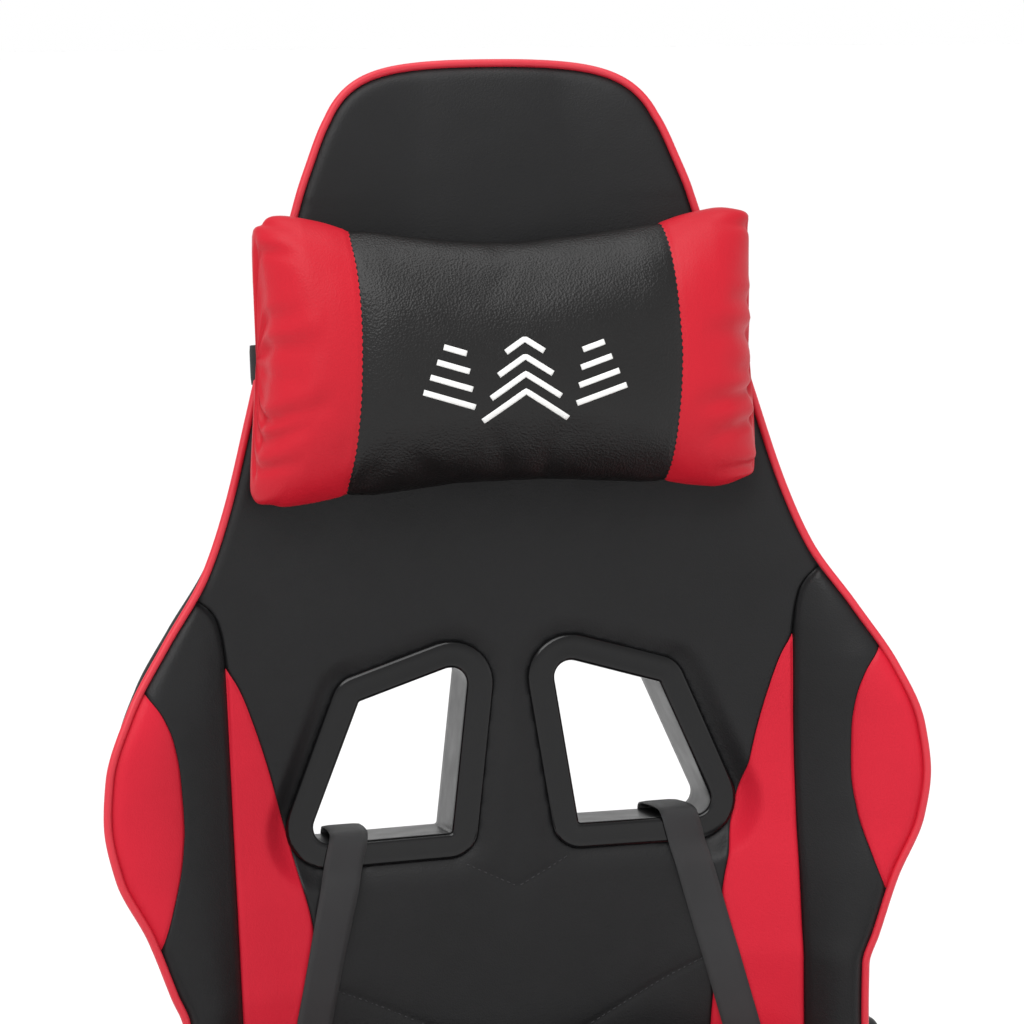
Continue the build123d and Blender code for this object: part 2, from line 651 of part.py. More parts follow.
def frame_channel():
    """The moulded channel in the foam that the tube frame lies in, open at the rear."""
    half = TUBE_R + 1.0
    deep = 2 * half + 1.5
    with BuildPart() as channel:
        with BuildSketch(back_plane(-BACK_THICK)) as _:
            with BuildLine():
                FilletPolyline(*frame_path(), radius=28, close=True)
            make_face()
            offset(amount=half)
            with BuildLine():
                FilletPolyline(*frame_path(), radius=28, close=True)
            with BuildSketch(mode=Mode.PRIVATE) as core:
                with BuildLine():
                    FilletPolyline(*frame_path(), radius=28, close=True)
                make_face()
                offset(amount=-half)
            add(core.sketch, mode=Mode.SUBTRACT)
            for v in (228.0, 470.0):
                with Locations((0, v)):
                    Rectangle(330 if v < 440 else 300, 2 * half)
        extrude(amount=deep)
    return channel.part


def backrest():
    channel = frame_channel()
    rear = back_plane(-BACK_THICK)
    front_extent = BACK_THICK + SEAM_W
    with BuildPart() as middle:
        with BuildSketch(rear) as _:
            add(make_outline())
            with Locations((0, 390)):
                Rectangle(2 * WING_X - 0.6, 900, mode=Mode.INTERSECT)
        extrude(amount=front_extent)
        with BuildSketch(Plane(back_plane().origin, (1, 0, 0), (0, sin(RECLINE), cos(RECLINE)))) as _:
            with BuildLine():
                Polyline((-FLAT_X, 0), (FLAT_X, 0), (WING_X + 20, -SEAM_W - 18.9), (-WING_X - 20, -SEAM_W - 18.9), close=True)
            make_face()
        extrude(amount=900, both=True, mode=Mode.SUBTRACT)
        with BuildSketch(rear) as _:
            for side in (-1, 1):
                add(hole_sketch(side, SLEEVE_T))
        extrude(amount=front_extent + 10, mode=Mode.SUBTRACT)
        add(channel, mode=Mode.SUBTRACT)
        for v in STUB_V:
            for side in (-1, 1):
                with Locations(back_plane(-BACK_THICK + 11).location * Location((side * 172, v, 0), (0, side * 90, 0))):
                    Cylinder(STUB_R + 0.3, 70, align=(Align.CENTER, Align.CENTER, Align.MIN), mode=Mode.SUBTRACT)
    write(middle.part, "back_cushion")

    for name, side in SIDES:
        with BuildPart() as wing:
            with BuildSketch(rear) as _:
                add(make_outline())
                with Locations((side * (WING_X + 60), 220)):
                    Rectangle(120, 468, mode=Mode.INTERSECT)
            extrude(amount=BACK_THICK + WING_W)
            slope = (WING_W - SEAM_W) / (WING_EDGE_X - WING_X)
            with BuildSketch(Plane(back_plane().origin, (1, 0, 0), (0, sin(RECLINE), cos(RECLINE)))) as _:
                with BuildLine():
                    Polyline((side * (WING_X - 10), -SEAM_W + 10 * slope), (side * (WING_EDGE_X + 10), -WING_W - 10 * slope),
                             (side * (WING_EDGE_X + 10), -200), (side * (WING_X - 10), -200), close=True)
                make_face()
            extrude(amount=900, both=True, mode=Mode.SUBTRACT)
            for v in STUB_V:
                with Locations(back_plane(-BACK_THICK + 11).location * Location((side * 172, v, 0), (0, side * 90, 0))):
                    Cylinder(STUB_R + 0.3, 70, align=(Align.CENTER, Align.CENTER, Align.MIN), mode=Mode.SUBTRACT)
        write(wing.part, f"back_wing_{name}")

    with BuildPart() as panel:
        with BuildSketch(back_plane(-BACK_THICK - PANEL_T)) as _:
            add(make_outline())
            for side in (-1, 1):
                add(hole_sketch(side, SLEEVE_T), mode=Mode.SUBTRACT)
        extrude(amount=PANEL_T)
    write(panel.part, "back_panel")


def make_outline():
    with BuildSketch() as sketch:
        add(back_outline().line)
        make_face()
    return sketch.sketch


def bezels():
    """Moulded frames lining the harness openings, and the flat rings that close them at the rear."""
    rear_w = -BACK_THICK - PANEL_T - FLANGE_T
    for name, side in SIDES:
        with BuildPart() as bezel:
            with BuildSketch(back_plane()) as _:
                add(hole_sketch(side, FLANGE))
            extrude(amount=FLANGE_T)
            fillet(bezel.faces().sort_by(Axis.Y)[0].edges(), 2.5)
            with BuildSketch(back_plane(rear_w)) as _:
                add(hole_sketch(side, SLEEVE_T))
            extrude(amount=-rear_w)
            with BuildSketch(back_plane(rear_w - 1)) as _:
                add(hole_sketch(side, 0))
            extrude(amount=FLANGE_T + 2 - rear_w, mode=Mode.SUBTRACT)
        write(bezel.part, f"harness_bezel_{name}")
    with BuildPart() as rings:
        with BuildSketch(back_plane(rear_w)) as _:
            for _, side in SIDES:
                add(hole_sketch(side, FLANGE - 3))
        extrude(amount=FLANGE_T)
        with BuildSketch(back_plane(rear_w - 1)) as _:
            for _, side in SIDES:
                add(hole_sketch(side, SLEEVE_T))
        extrude(amount=FLANGE_T + 2, mode=Mode.SUBTRACT)
    write(rings.part, "harness_rear_rings")


def hinge_arms():
    """Steel arms welded to the frame's stubs, and the plastic trims on their outer faces."""
    arm_w = -BACK_THICK + 11.0
    with BuildPart() as arms:
        for _, side in SIDES:
            with BuildSketch(back_side_plane(side * HINGE_X)) as _:
                with BuildLine():
                    CenterArc((0, 0), 30, 0, 360)
                    CenterArc((STUB_V[0] - 8, arm_w + 4), 16, 0, 360)
                    CenterArc((STUB_V[1], arm_w + 4), 16, 0, 360)
                    CenterArc((STUB_V[1] - 8, 12), 16, 0, 360)
                make_hull()
                Circle(PIN_R + RUN, mode=Mode.SUBTRACT)
            extrude(amount=side * PLATE_T)
    write(arms.part, "hinge_arms")
    with BuildPart() as trims:
        for _, side in SIDES:
            with BuildSketch(back_side_plane(side * (HINGE_X + PLATE_T))) as _:
                with BuildLine():
                    CenterArc((56, -26), 22, 0, 360)
                    CenterArc((108, -24), 20, 0, 360)
                    CenterArc((112, 18), 20, 0, 360)
                    CenterArc((56, 20), 18, 0, 360)
                make_hull()
                Circle(46, mode=Mode.SUBTRACT)
            extrude(amount=side * 13)
            fillet(trims.faces().sort_by(Axis.X)[-1 if side > 0 else 0].edges(), 4)
    write(trims.part, "arm_trims")


# ---------------------------------------------------------------- pillows and webbing
def pillow(name, half_x, v_low, v_high, waist, w0, w1):
    """A plain bolster-shaped solid whose long edges draw in at the middle."""
    with BuildPart() as part:
        with BuildSketch(back_plane(w0)) as _:
            with BuildLine():
                Line((half_x, v_low + 12), (half_x - 5, v_high - 12))
                ThreePointArc((half_x - 5, v_high - 12), (half_x - 10, v_high - 2), (half_x - 22, v_high))
                ThreePointArc((half_x - 22, v_high), (0, v_high - waist), (-half_x + 22, v_high))
                ThreePointArc((-half_x + 22, v_high), (-half_x + 10, v_high - 2), (-half_x + 5, v_high - 12))
                Line((-half_x + 5, v_high - 12), (-half_x, v_low + 12))
                ThreePointArc((-half_x, v_low + 12), (-half_x + 5, v_low + 2), (-half_x + 17, v_low))
                ThreePointArc((-half_x + 17, v_low), (0, v_low + waist * 0.6), (half_x - 17, v_low))
                ThreePointArc((half_x - 17, v_low), (half_x - 5, v_low + 2), (half_x, v_low + 12))
            make_face()
        extrude(amount=w1 - w0)
    write(part.part, name)


def webbing():
    """Elastic band round the neck, and the two bands of the lumbar pillow through the openings."""
    rear_w = -BACK_THICK - PANEL_T - FLANGE_T
    neck_v, neck_x = 585.0, 163.0
    panel_w = -BACK_THICK - PANEL_T
    across = Plane(back_plane().location * Location((0, neck_v, 0), (-90, 0, 0)))
    with BuildPart() as band:
        with BuildSketch(across) as _:
            with BuildLine():
                Polyline((125, -0.5), (neck_x, -0.5), (neck_x, -panel_w + 0.5), (-neck_x, -panel_w + 0.5), (-neck_x, -0.5),
                         (-125, -0.5), (-125, -0.5 - BAND_T), (-neck_x - BAND_T, -0.5 - BAND_T),
                         (-neck_x - BAND_T, -panel_w + 0.5 + BAND_T), (neck_x + BAND_T, -panel_w + 0.5 + BAND_T),
                         (neck_x + BAND_T, -0.5 - BAND_T), (125, -0.5 - BAND_T), close=True)
            make_face()
        extrude(amount=BAND_W)
    write(band.part, "headrest_band")

    top_x, low_x, top_v, low_v = 113.0, 150.0, 285.0, 118.0
    front_w, back_w = FLANGE_T + 1.0, rear_w - 1.0 - BAND_T
    loop_v = BACK_BOTTOM_V - 8
    with BuildPart() as straps:
        with BuildSketch(back_plane(front_w)) as _:
            with BuildLine():
                Polyline((top_x - BAND_W / 2, top_v), (top_x + BAND_W / 2, top_v),
                         (low_x + BAND_W / 2, low_v), (low_x - BAND_W / 2, low_v), close=True)
            make_face()
            with Locations((top_x, (loop_v + 20) / 2)):
                Rectangle(BAND_W, 20 - loop_v)
        extrude(amount=BAND_T)
        with BuildSketch(back_plane(back_w)) as _:
            with Locations((top_x, (top_v + loop_v) / 2)):
                Rectangle(BAND_W, top_v - loop_v)
        extrude(amount=BAND_T)
        with BuildSketch(back_plane(back_w)) as _:
            with Locations((top_x, top_v - BAND_T / 2), (top_x, loop_v + BAND_T / 2)):
                Rectangle(BAND_W, BAND_T)
        extrude(amount=front_w + BAND_T - back_w)
        mirror(about=Plane.YZ)
    write(straps.part, "lumbar_straps")


def main():
    os.makedirs("parts", exist_ok=True)
    base_star()
    casters()
    gas_lift()
    mechanism()
    tension_unit()
    seat()
    bracket_spots = hinge_brackets()
    recliner_units()
    recline_lever()
    arm_spots = armrests()
    plate_spots = [(x, 5 + y) for x in (-75, 75) for y in (-62.5, 62.5)]
    seat_bolts([(plate_spots, BOARD_Z0 - 8, BOARD_Z1 - 2),
                (bracket_spots + arm_spots, BOARD_Z0 - PLATE_T - 4, BOARD_Z0)])
    back_frame()
    backrest()
    bezels()
    hinge_arms()
    pillow("headrest_pillow", 162, 508, 694, 28, 4, 86)
    pillow("lumbar_pillow", 172, -12, 138, 20, 10, 92)
    webbing()


main()
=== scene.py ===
"""Visual model of the racing-style gaming chair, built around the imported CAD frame. Metres."""
import json
import math

from contextlib import contextmanager

import bmesh
import bpy
import numpy as np
from mathutils import Matrix, Vector, noise


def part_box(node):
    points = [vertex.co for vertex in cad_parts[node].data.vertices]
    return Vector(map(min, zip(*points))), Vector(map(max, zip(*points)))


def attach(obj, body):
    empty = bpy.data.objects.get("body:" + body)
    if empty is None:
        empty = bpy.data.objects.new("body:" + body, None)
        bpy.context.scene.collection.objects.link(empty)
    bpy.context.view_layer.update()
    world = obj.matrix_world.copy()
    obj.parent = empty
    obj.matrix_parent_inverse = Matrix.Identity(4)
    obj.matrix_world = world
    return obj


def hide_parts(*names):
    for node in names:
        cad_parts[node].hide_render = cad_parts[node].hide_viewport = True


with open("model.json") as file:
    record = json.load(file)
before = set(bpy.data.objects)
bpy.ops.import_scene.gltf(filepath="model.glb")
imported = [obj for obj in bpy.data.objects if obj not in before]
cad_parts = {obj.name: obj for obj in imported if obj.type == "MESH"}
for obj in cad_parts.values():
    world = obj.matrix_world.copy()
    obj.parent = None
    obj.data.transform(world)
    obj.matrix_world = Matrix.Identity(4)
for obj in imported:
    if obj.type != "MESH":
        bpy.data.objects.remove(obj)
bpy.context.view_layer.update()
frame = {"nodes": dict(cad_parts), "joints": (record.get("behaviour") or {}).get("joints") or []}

MM = 0.001
# The backrest is drawn in its own mm coordinates: x across, v up along it, w forwards out of it.
PIVOT = np.array([0.0, 175.0, 466.0])
RECLINE = math.radians(10)
SIN, COS = math.sin(RECLINE), math.cos(RECLINE)
REAR_W = -53.0                  # rear face
BOTTOM_V, TOP_V = -14.0, 788.0
TAPER = 6.5                     # how much smaller the rear is than the front, on each side
HEAD_V = 640.0                  # above this the centre panel follows the arched top
CORNER_V = 752.0                # where the side turns into the top
SEAM_TOP = 451.0                # the wing seams end at the outline
INSERT_TOP = 405.6              # the red inserts end in a point on the wing seams
WING_RED = (233, 399)           # the wings' red patches
BEZEL_GROW = 18.5               # a bezel's width round its opening
SIDES = (("left", 1), ("right", -1))


# ------------------------------------------------------------------ numbers and curves
def curve_through(points):
    """A smooth function through (key, value) points, without overshoot between them."""
    keys = np.array([p[0] for p in points], float)
    values = np.array([p[1] for p in points], float)
    step = np.diff(keys)
    slope = np.diff(values) / step
    tangent = np.zeros(len(keys))
    tangent[0], tangent[-1] = slope[0], slope[-1]
    for i in range(1, len(keys) - 1):
        if slope[i - 1] * slope[i] > 0:
            a, b = 2 * step[i] + step[i - 1], step[i] + 2 * step[i - 1]
            tangent[i] = (a + b) / (a / slope[i - 1] + b / slope[i])

    def evaluate(x):
        x = np.clip(np.asarray(x, float), keys[0], keys[-1])
        i = np.clip(np.searchsorted(keys, x, side="right") - 1, 0, len(keys) - 2)
        t = (x - keys[i]) / step[i]
        return (values[i] * (1 + 2 * t) * (1 - t) ** 2 + values[i + 1] * t * t * (3 - 2 * t)
                + step[i] * t * (1 - t) * (tangent[i] * (1 - t) - tangent[i + 1] * t))

    return evaluate


def hump(d, width):
    """1 at d = 0, falling off smoothly over about width."""
    return np.exp(-(d / width) ** 2)


def clamp(t):
    return np.clip(t, 0, 1)


def to_world(x, v, w):
    """Backrest coordinates in mm (across, up, forwards) to the row frame in metres."""
    x, v, w = np.broadcast_arrays(np.asarray(x, float), np.asarray(v, float), np.asarray(w, float))
    y = PIVOT[1] + v * SIN - w * COS
    z = PIVOT[2] + v * COS + w * SIN
    return np.stack([x, y, z], -1) * MM


def distance_to_line(x, v, line):
    """Distance of points (x, v) from an open polyline."""
    p = np.stack([np.ravel(x), np.ravel(v)], -1)
    a, b = line[:-1], line[1:]
    d = b - a
    t = clamp(((p[:, None] - a) * d).sum(-1) / np.maximum((d * d).sum(-1), 1e-9))
    near = a + t[..., None] * d
    return np.sqrt(((p[:, None] - near) ** 2).sum(-1)).min(1).reshape(np.shape(x))


def inside(x, v, polygon):
    """Whether points (x, v) lie in a closed polygon."""
    p, q = np.ravel(x), np.ravel(v)
    result = np.zeros(p.shape, bool)
    x1, v1 = polygon[-1]
    for x0, v0 in polygon:
        crosses = ((v0 > q) != (v1 > q)) & (p < (x1 - x0) * (q - v0) / ((v1 - v0) or 1e-9) + x0)
        result ^= crosses
        x1, v1 = x0, v0
    return result.reshape(np.shape(x))


def ripple(points, scale, seed):
    """Smooth noise in -1..1 at points in metres."""
    flat = points.reshape(-1, 3)
    shift = Vector((seed * 7.3, seed * 3.1, seed * 5.7))
    values = [noise.noise(Vector(p) / scale + shift) for p in flat]
    return np.array(values).reshape(points.shape[:-1])


# ------------------------------------------------------------------ backrest shape
half_width = curve_through([
    (-14, 219), (0, 223.5), (185, 224.5), (205, 231), (245, 244), (285, 261.5), (318, 266.8), (345, 264.5),
    (385, 250), (425, 226), (465, 200), (505, 184), (565, 166.5), (625, 150), (705, 127.7), (725, 120),
    (745, 111.6), (765, 100)])
edge_depth = curve_through([
    (-14, 56), (155, 60), (225, 66), (295, 71), (355, 66), (415, 50), (475, 36), (555, 26), (655, 18), (790, 12)])
seam_x = curve_through([(-14, 188), (134, 188.3), (408, 189), (420, 190), (435, 193), (444, 198), (451, 206)])
patch_x = curve_through([(-14, 122), (60, 125), (134, 129), (164, 132), (228, 139), (239, 141), (272, 149),
                         (305, 157), (336, 164), (365, 172), (391, 181), (405.6, 189)])
wing_patch_x = curve_through([(233, 239.5), (246, 234), (258, 230), (290, 222), (311, 220), (343, 221),
                              (364, 224), (381, 230), (399, 242.5)])
HOLE = np.array([(27.5, 397.5), (102, 374), (141, 281), (43.5, 282)], float)
QUILT = [(-5.0, 0.52), (118.5, 0.52), (242.0, 0.52)]


def line_of(curve, v0, v1, n):
    """Points (x, v) along a curve x(v)."""
    v = np.linspace(v0, v1, n)
    return np.stack([curve(v), v], -1)


def head_top(n):
    """Top edge from the middle to the corner, a flat arch that turns into the side."""
    corner = np.array([half_width(CORNER_V), CORNER_V])
    t = np.linspace(0, 1, n)[:, None]
    p0, p1, p2, p3 = np.array([0, TOP_V]), np.array([62, TOP_V]), np.array([92, 784.0]), corner
    return (1 - t) ** 3 * p0 + 3 * t * (1 - t) ** 2 * p1 + 3 * t * t * (1 - t) * p2 + t ** 3 * p3


def outline_half():
    """Right half of the outline, from the middle of the bottom edge to the middle of the top."""
    bottom = np.stack([np.linspace(0, 200, 40), np.full(40, BOTTOM_V)], -1)
    turn = np.linspace(0, math.pi / 2, 9)[1:-1]
    corner = np.stack([204 + 19.5 * np.sin(turn), BOTTOM_V + 18 - 18 * np.cos(turn)], -1)
    side = line_of(half_width, 6, CORNER_V, 230)[:-1]
    return np.concatenate([bottom, corner, side, head_top(40)[::-1]])


OUTLINE_HALF = outline_half()
OUTLINE = np.concatenate([OUTLINE_HALF, OUTLINE_HALF[::-1][1:-1] * [-1, 1]])
SEAM_LINE = line_of(seam_x, BOTTOM_V, SEAM_TOP, 60)
PATCH_LINE = line_of(patch_x, BOTTOM_V, INSERT_TOP, 60)
WING_PATCH_LINE = line_of(wing_patch_x, *WING_RED, 40)


def base_width(v):
    """Half width that the dish is measured against; it narrows evenly over the head."""
    return np.where(v < 700, half_width(np.minimum(v, 700)), 128 - (np.asarray(v) - 700) * 0.27)


def dish(x, v):
    """Depth of the plain dished front: flat in the middle, rising towards the wings."""
    t = np.abs(x) / base_width(v)
    return edge_depth(v) * np.clip((t - 0.4) / 0.6, 0, 1.3) ** 1.65


def hole_ring(side, grow, drop):
    """The harness opening's outline grown outwards, its lower edge dropped, with rounded corners."""
    centre = HOLE.mean(0)
    lines = []
    for i in range(4):
        a, b = HOLE[i], HOLE[(i + 1) % 4]
        n = np.array([b[1] - a[1], a[0] - b[0]])
        n /= np.linalg.norm(n)
        if (a - centre) @ n < 0:
            n = -n
        lines.append((n, n @ a + grow + (drop if i == 2 else 0)))
    points = []
    for i in range(4):
        (n0, c0), (n1, c1) = lines[i - 1], lines[i]
        corner = np.linalg.solve(np.array([n0, n1]), [c0, c1])
        radius = (11, 2, 11, 2)[i] + grow
        half = math.acos(np.clip(n0 @ n1, -1, 1)) / 2
        out = (n0 + n1) / np.linalg.norm(n0 + n1)
        middle = corner - out * radius / math.cos(half)
        start = math.atan2(n0[1], n0[0])
        turn = (math.atan2(n1[1], n1[0]) - start + math.pi) % (2 * math.pi) - math.pi
        for q in np.linspace(0, 1, 12):
            angle = start + turn * q
            points.append(middle + radius * np.array([math.cos(angle), math.sin(angle)]))
    ring = np.array(points)
    full = []
    for i, p in enumerate(ring):
        full.append(p)
        if i % 12 == 11:
            for q in np.linspace(0, 1, 14)[1:-1]:
                full.append(p + (ring[(i + 1) % len(ring)] - p) * q)
    return np.array(full) * [side, 1]


HOLE_RING = hole_ring(1, 0, 0)


def hole_distance(x, v):
    """Distance from a harness opening's edge, negative inside it."""
    d = distance_to_line(np.abs(x), v, np.concatenate([HOLE_RING, HOLE_RING[:1]]))
    return np.where(inside(np.abs(x), v, HOLE_RING), -d, d)


def front(x, v):
    """Front surface of the upholstery: dish, crown, bolster swell, seams, quilting and bezel hollows."""
    x, v = np.broadcast_arrays(np.asarray(x, float), np.asarray(v, float))
    ax = np.abs(x)
    edge = distance_to_line(ax, v, OUTLINE_HALF)
    w = dish(x, v) + 7 * (1 - np.exp(-edge / 26)) - 3.5 * hump(edge, 5)
    seam = distance_to_line(ax, v, SEAM_LINE)
    w = w - 2.2 * hump(seam, 1.7) - 1.5 * hump(seam, 11)
    s, e = seam_x(np.minimum(v, SEAM_TOP)), base_width(v)
    across = clamp((ax - s) / np.maximum(e - s, 6))
    w = w + np.where(v < SEAM_TOP, 7 * np.sin(math.pi * across) * clamp((SEAM_TOP - v) / 60), 0)
    for line in (PATCH_LINE, WING_PATCH_LINE):
        d = distance_to_line(ax, v, line)
        w = w - 1.0 * hump(d, 1.3) - 0.45 * hump(d, 6)
    for v0, slope in QUILT:
        d = np.abs(v - v0 - slope * ax) * 0.887
        reach = clamp((patch_x(np.minimum(v, 405)) - ax) / 6) * np.where(v < 300, 1, 0)
        w = w - reach * (0.9 * hump(d, 1.3) + 0.5 * hump(d, 8))
    hole = hole_distance(x, v) - BEZEL_GROW
    near = clamp(1 - hole / 15)
    near = near * near * (3 - 2 * near)
    w = w + near * (np.minimum(w, 4.2) - w)
    w = w - 1.2 * hump(hole, 3.0)
    return np.where(hole < -1, np.minimum(w, 1.5), w)


# ------------------------------------------------------------------ meshes
def mesh_object(name, verts, faces):
    mesh = bpy.data.meshes.new(name)
    mesh.from_pydata([tuple(map(float, p)) for p in verts], [], faces)
    mesh.validate()
    obj = bpy.data.objects.new(name, mesh)
    bpy.context.scene.collection.objects.link(obj)
    mesh.polygons.foreach_set("use_smooth", [True] * len(mesh.polygons))
    mesh.update()
    return obj


def apply_modifiers(obj):
    depsgraph = bpy.context.evaluated_depsgraph_get()
    mesh = bpy.data.meshes.new_from_object(obj.evaluated_get(depsgraph), depsgraph=depsgraph)
    obj.modifiers.clear()
    old, obj.data = obj.data, mesh
    bpy.data.meshes.remove(old)
    return obj


def subdivide(obj):
    refine = obj.modifiers.new("refine", "SUBSURF")
    refine.levels = refine.render_levels = 1
    return apply_modifiers(obj)


def thicken(obj, thickness):
    """Gives an open sheet its thickness in metres, behind its faces."""
    shell = obj.modifiers.new("shell", "SOLIDIFY")
    shell.thickness, shell.offset = thickness, -1
    return apply_modifiers(obj)


@contextmanager
def editing(obj):
    """The object's mesh as a bmesh, written back at the end."""
    bm = bmesh.new()
    bm.from_mesh(obj.data)
    yield bm
    bm.to_mesh(obj.data)
    bm.free()


def read_vertices(mesh, layer="co"):
    values = np.zeros(len(mesh.vertices) * 3)
    (mesh.vertex_normals if layer == "vector" else mesh.vertices).foreach_get(layer, values)
    return values.reshape(-1, 3)


def write_vertices(obj, points):
    obj.data.vertices.foreach_set("co", points.reshape(-1))
    obj.data.update()


def tidy_mesh(obj, merge=1e-6, outward=True):
    """Merges doubled points, drops empty faces and turns the normals outwards."""
    with editing(obj) as bm:
        bmesh.ops.remove_doubles(bm, verts=bm.verts, dist=merge)
        bmesh.ops.dissolve_degenerate(bm, edges=bm.edges, dist=merge / 2)
        if outward:
            bmesh.ops.recalc_face_normals(bm, faces=bm.faces)
        for f in bm.faces:
            f.smooth = True
    return obj


def grid_faces(rows, cols, closed_rows=False, closed_cols=False):
    """Quads over a grid of points numbered row by row."""
    faces = []
    for i in range(rows if closed_rows else rows - 1):
        for j in range(cols if closed_cols else cols - 1):
            a, b = i * cols + j, i * cols + (j + 1) % cols
            c, d = ((i + 1) % rows) * cols + (j + 1) % cols, ((i + 1) % rows) * cols + j
            faces.append((a, b, c, d))
    return faces


def finish_piece(obj, body, material=None, replaces=()):
    """Gives a piece its material and its body, and hides the CAD nodes it stands in for."""
    if material is not None:
        obj.data.materials.clear()
        obj.data.materials.append(material)
    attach(obj, body)
    if replaces:
        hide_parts(*replaces)
    return obj


def join(name, objects):
    """One mesh from several, with their materials kept."""
    bm = bmesh.new()
    materials = []
    for o in objects:
        offset = len(materials)
        materials.extend(list(o.data.materials) or [None])
        part = bmesh.new()
        part.from_mesh(o.data)
        part.transform(o.matrix_world)
        for f in part.faces:
            f.material_index += offset
        temp = bpy.data.meshes.new("part")
        part.to_mesh(temp)
        part.free()
        bm.from_mesh(temp)
        bpy.data.meshes.remove(temp)
    mesh = bpy.data.meshes.new(name)
    bm.to_mesh(mesh)
    bm.free()
    for m in materials:
        mesh.materials.append(m)
    for o in objects:
        bpy.data.objects.remove(o)
    obj = bpy.data.objects.new(name, mesh)
    bpy.context.scene.collection.objects.link(obj)
    return obj


def eased(n):
    """Positions 0..1 that crowd towards both ends."""
    t = np.linspace(0, 1, n)
    return 0.55 * t + 0.45 * (0.5 - 0.5 * np.cos(math.pi * t))


def panel(name, left, right, v0, v1, nv, nx):
    """A strip of upholstery between two edge functions of v."""
    v = v0 + (v1 - v0) * eased(nv)
    l, r = left(v), right(v)
    x = l[:, None] + (r - l)[:, None] * eased(nx)
    return skin(name, x, np.repeat(v[:, None], nx, 1), 2.5)


def skin(name, x, v, thickness, hole_margin=None, surface=front):
    """Upholstery over a grid of (x, v), thickness mm deep, left open within hole_margin mm of the openings."""
    w = surface(x, v)
    world = to_world(x, v, w)
    wave = ripple(world, 0.055, 1) * 0.5 + ripple(world, 0.02, 2) * 0.16
    world = to_world(x, v, w + wave)
    faces = grid_faces(*x.shape)
    if hole_margin is not None:
        far = (hole_distance(x, v) > hole_margin).reshape(-1)
        faces = [f for f in faces if all(far[i] for i in f)]
    obj = mesh_object(name, world.reshape(-1, 3), faces)
    if hole_margin is not None:
        with editing(obj) as bm:
            bmesh.ops.delete(bm, geom=[p for p in bm.verts if not p.link_faces], context="VERTS")
    tidy_mesh(obj, merge=0.00005, outward=False)
    faces_rear = np.mean([p.normal.y for p in obj.data.polygons]) > 0
    if faces_rear == (surface is front):
        obj.data.flip_normals()
    return thicken(obj, thickness * MM)


def directions(path, closed):
    tangent = np.roll(path, -1, 0) - np.roll(path, 1, 0) if closed else np.gradient(path, axis=0)
    return tangent / np.linalg.norm(tangent, axis=1)[:, None]


def tube(name, path, radius, closed=False, sides=12):
    """A round cord along a path of points in metres."""
    path = np.asarray(path, float)
    n = len(path)
    tangent = directions(path, closed)
    normal = np.cross(tangent[0], [0.3, 0.2, 0.93])
    verts = []
    for i in range(n):
        normal = normal - tangent[i] * (normal @ tangent[i])
        normal /= np.linalg.norm(normal)
        other = np.cross(tangent[i], normal)
        for k in range(sides):
            a = 2 * math.pi * k / sides
            verts.append(path[i] + radius * (math.cos(a) * normal + math.sin(a) * other))
    faces = grid_faces(n, sides, closed_rows=closed, closed_cols=True)
    if not closed:
        faces += [tuple(range(sides))[::-1], tuple((n - 1) * sides + k for k in range(sides))]
    return tidy_mesh(mesh_object(name, verts, faces))


def ribbon(name, path, across, width, thickness, closed=False, cols=7):
    """A flat band along a path of points in metres; across is its width direction at each point."""
    path, across = np.asarray(path, float), np.asarray(across, float)
    tangent = directions(path, closed)
    across = across - tangent * (across * tangent).sum(1)[:, None]
    across /= np.linalg.norm(across, axis=1)[:, None]
    up = np.cross(tangent, across)
    verts, section = [], []
    for k in range(cols):
        u = -1 + 2 * k / (cols - 1)
        section.append((u, 0.5 * (1 - 0.5 * abs(u) ** 6)))
    section += [(u, -h) for u, h in section[::-1]]
    for p, a, n in zip(path, across, up):
        for u, h in section:
            verts.append(p + a * u * width / 2 + n * h * thickness)
    m = len(section)
    faces = grid_faces(len(path), m, closed_rows=closed, closed_cols=True)
    if not closed:
        faces += [tuple(range(m))[::-1], tuple((len(path) - 1) * m + k for k in range(m))]
    return tidy_mesh(mesh_object(name, verts, faces))


def resample(points, spacing, smooth=2):
    """Evenly spaced points along a polyline, with its corners rounded."""
    points = np.asarray(points, float)
    step = np.linalg.norm(np.diff(points, axis=0), axis=1)
    along = np.concatenate([[0], np.cumsum(step)])
    n = max(int(along[-1] / spacing), 4)
    s = np.linspace(0, along[-1], n + 1)
    out = np.stack([np.interp(s, along, points[:, i]) for i in range(points.shape[1])], -1)
    for _ in range(smooth):
        out[1:-1] = (out[:-2] + 2 * out[1:-1] + out[2:]) / 4
    return out


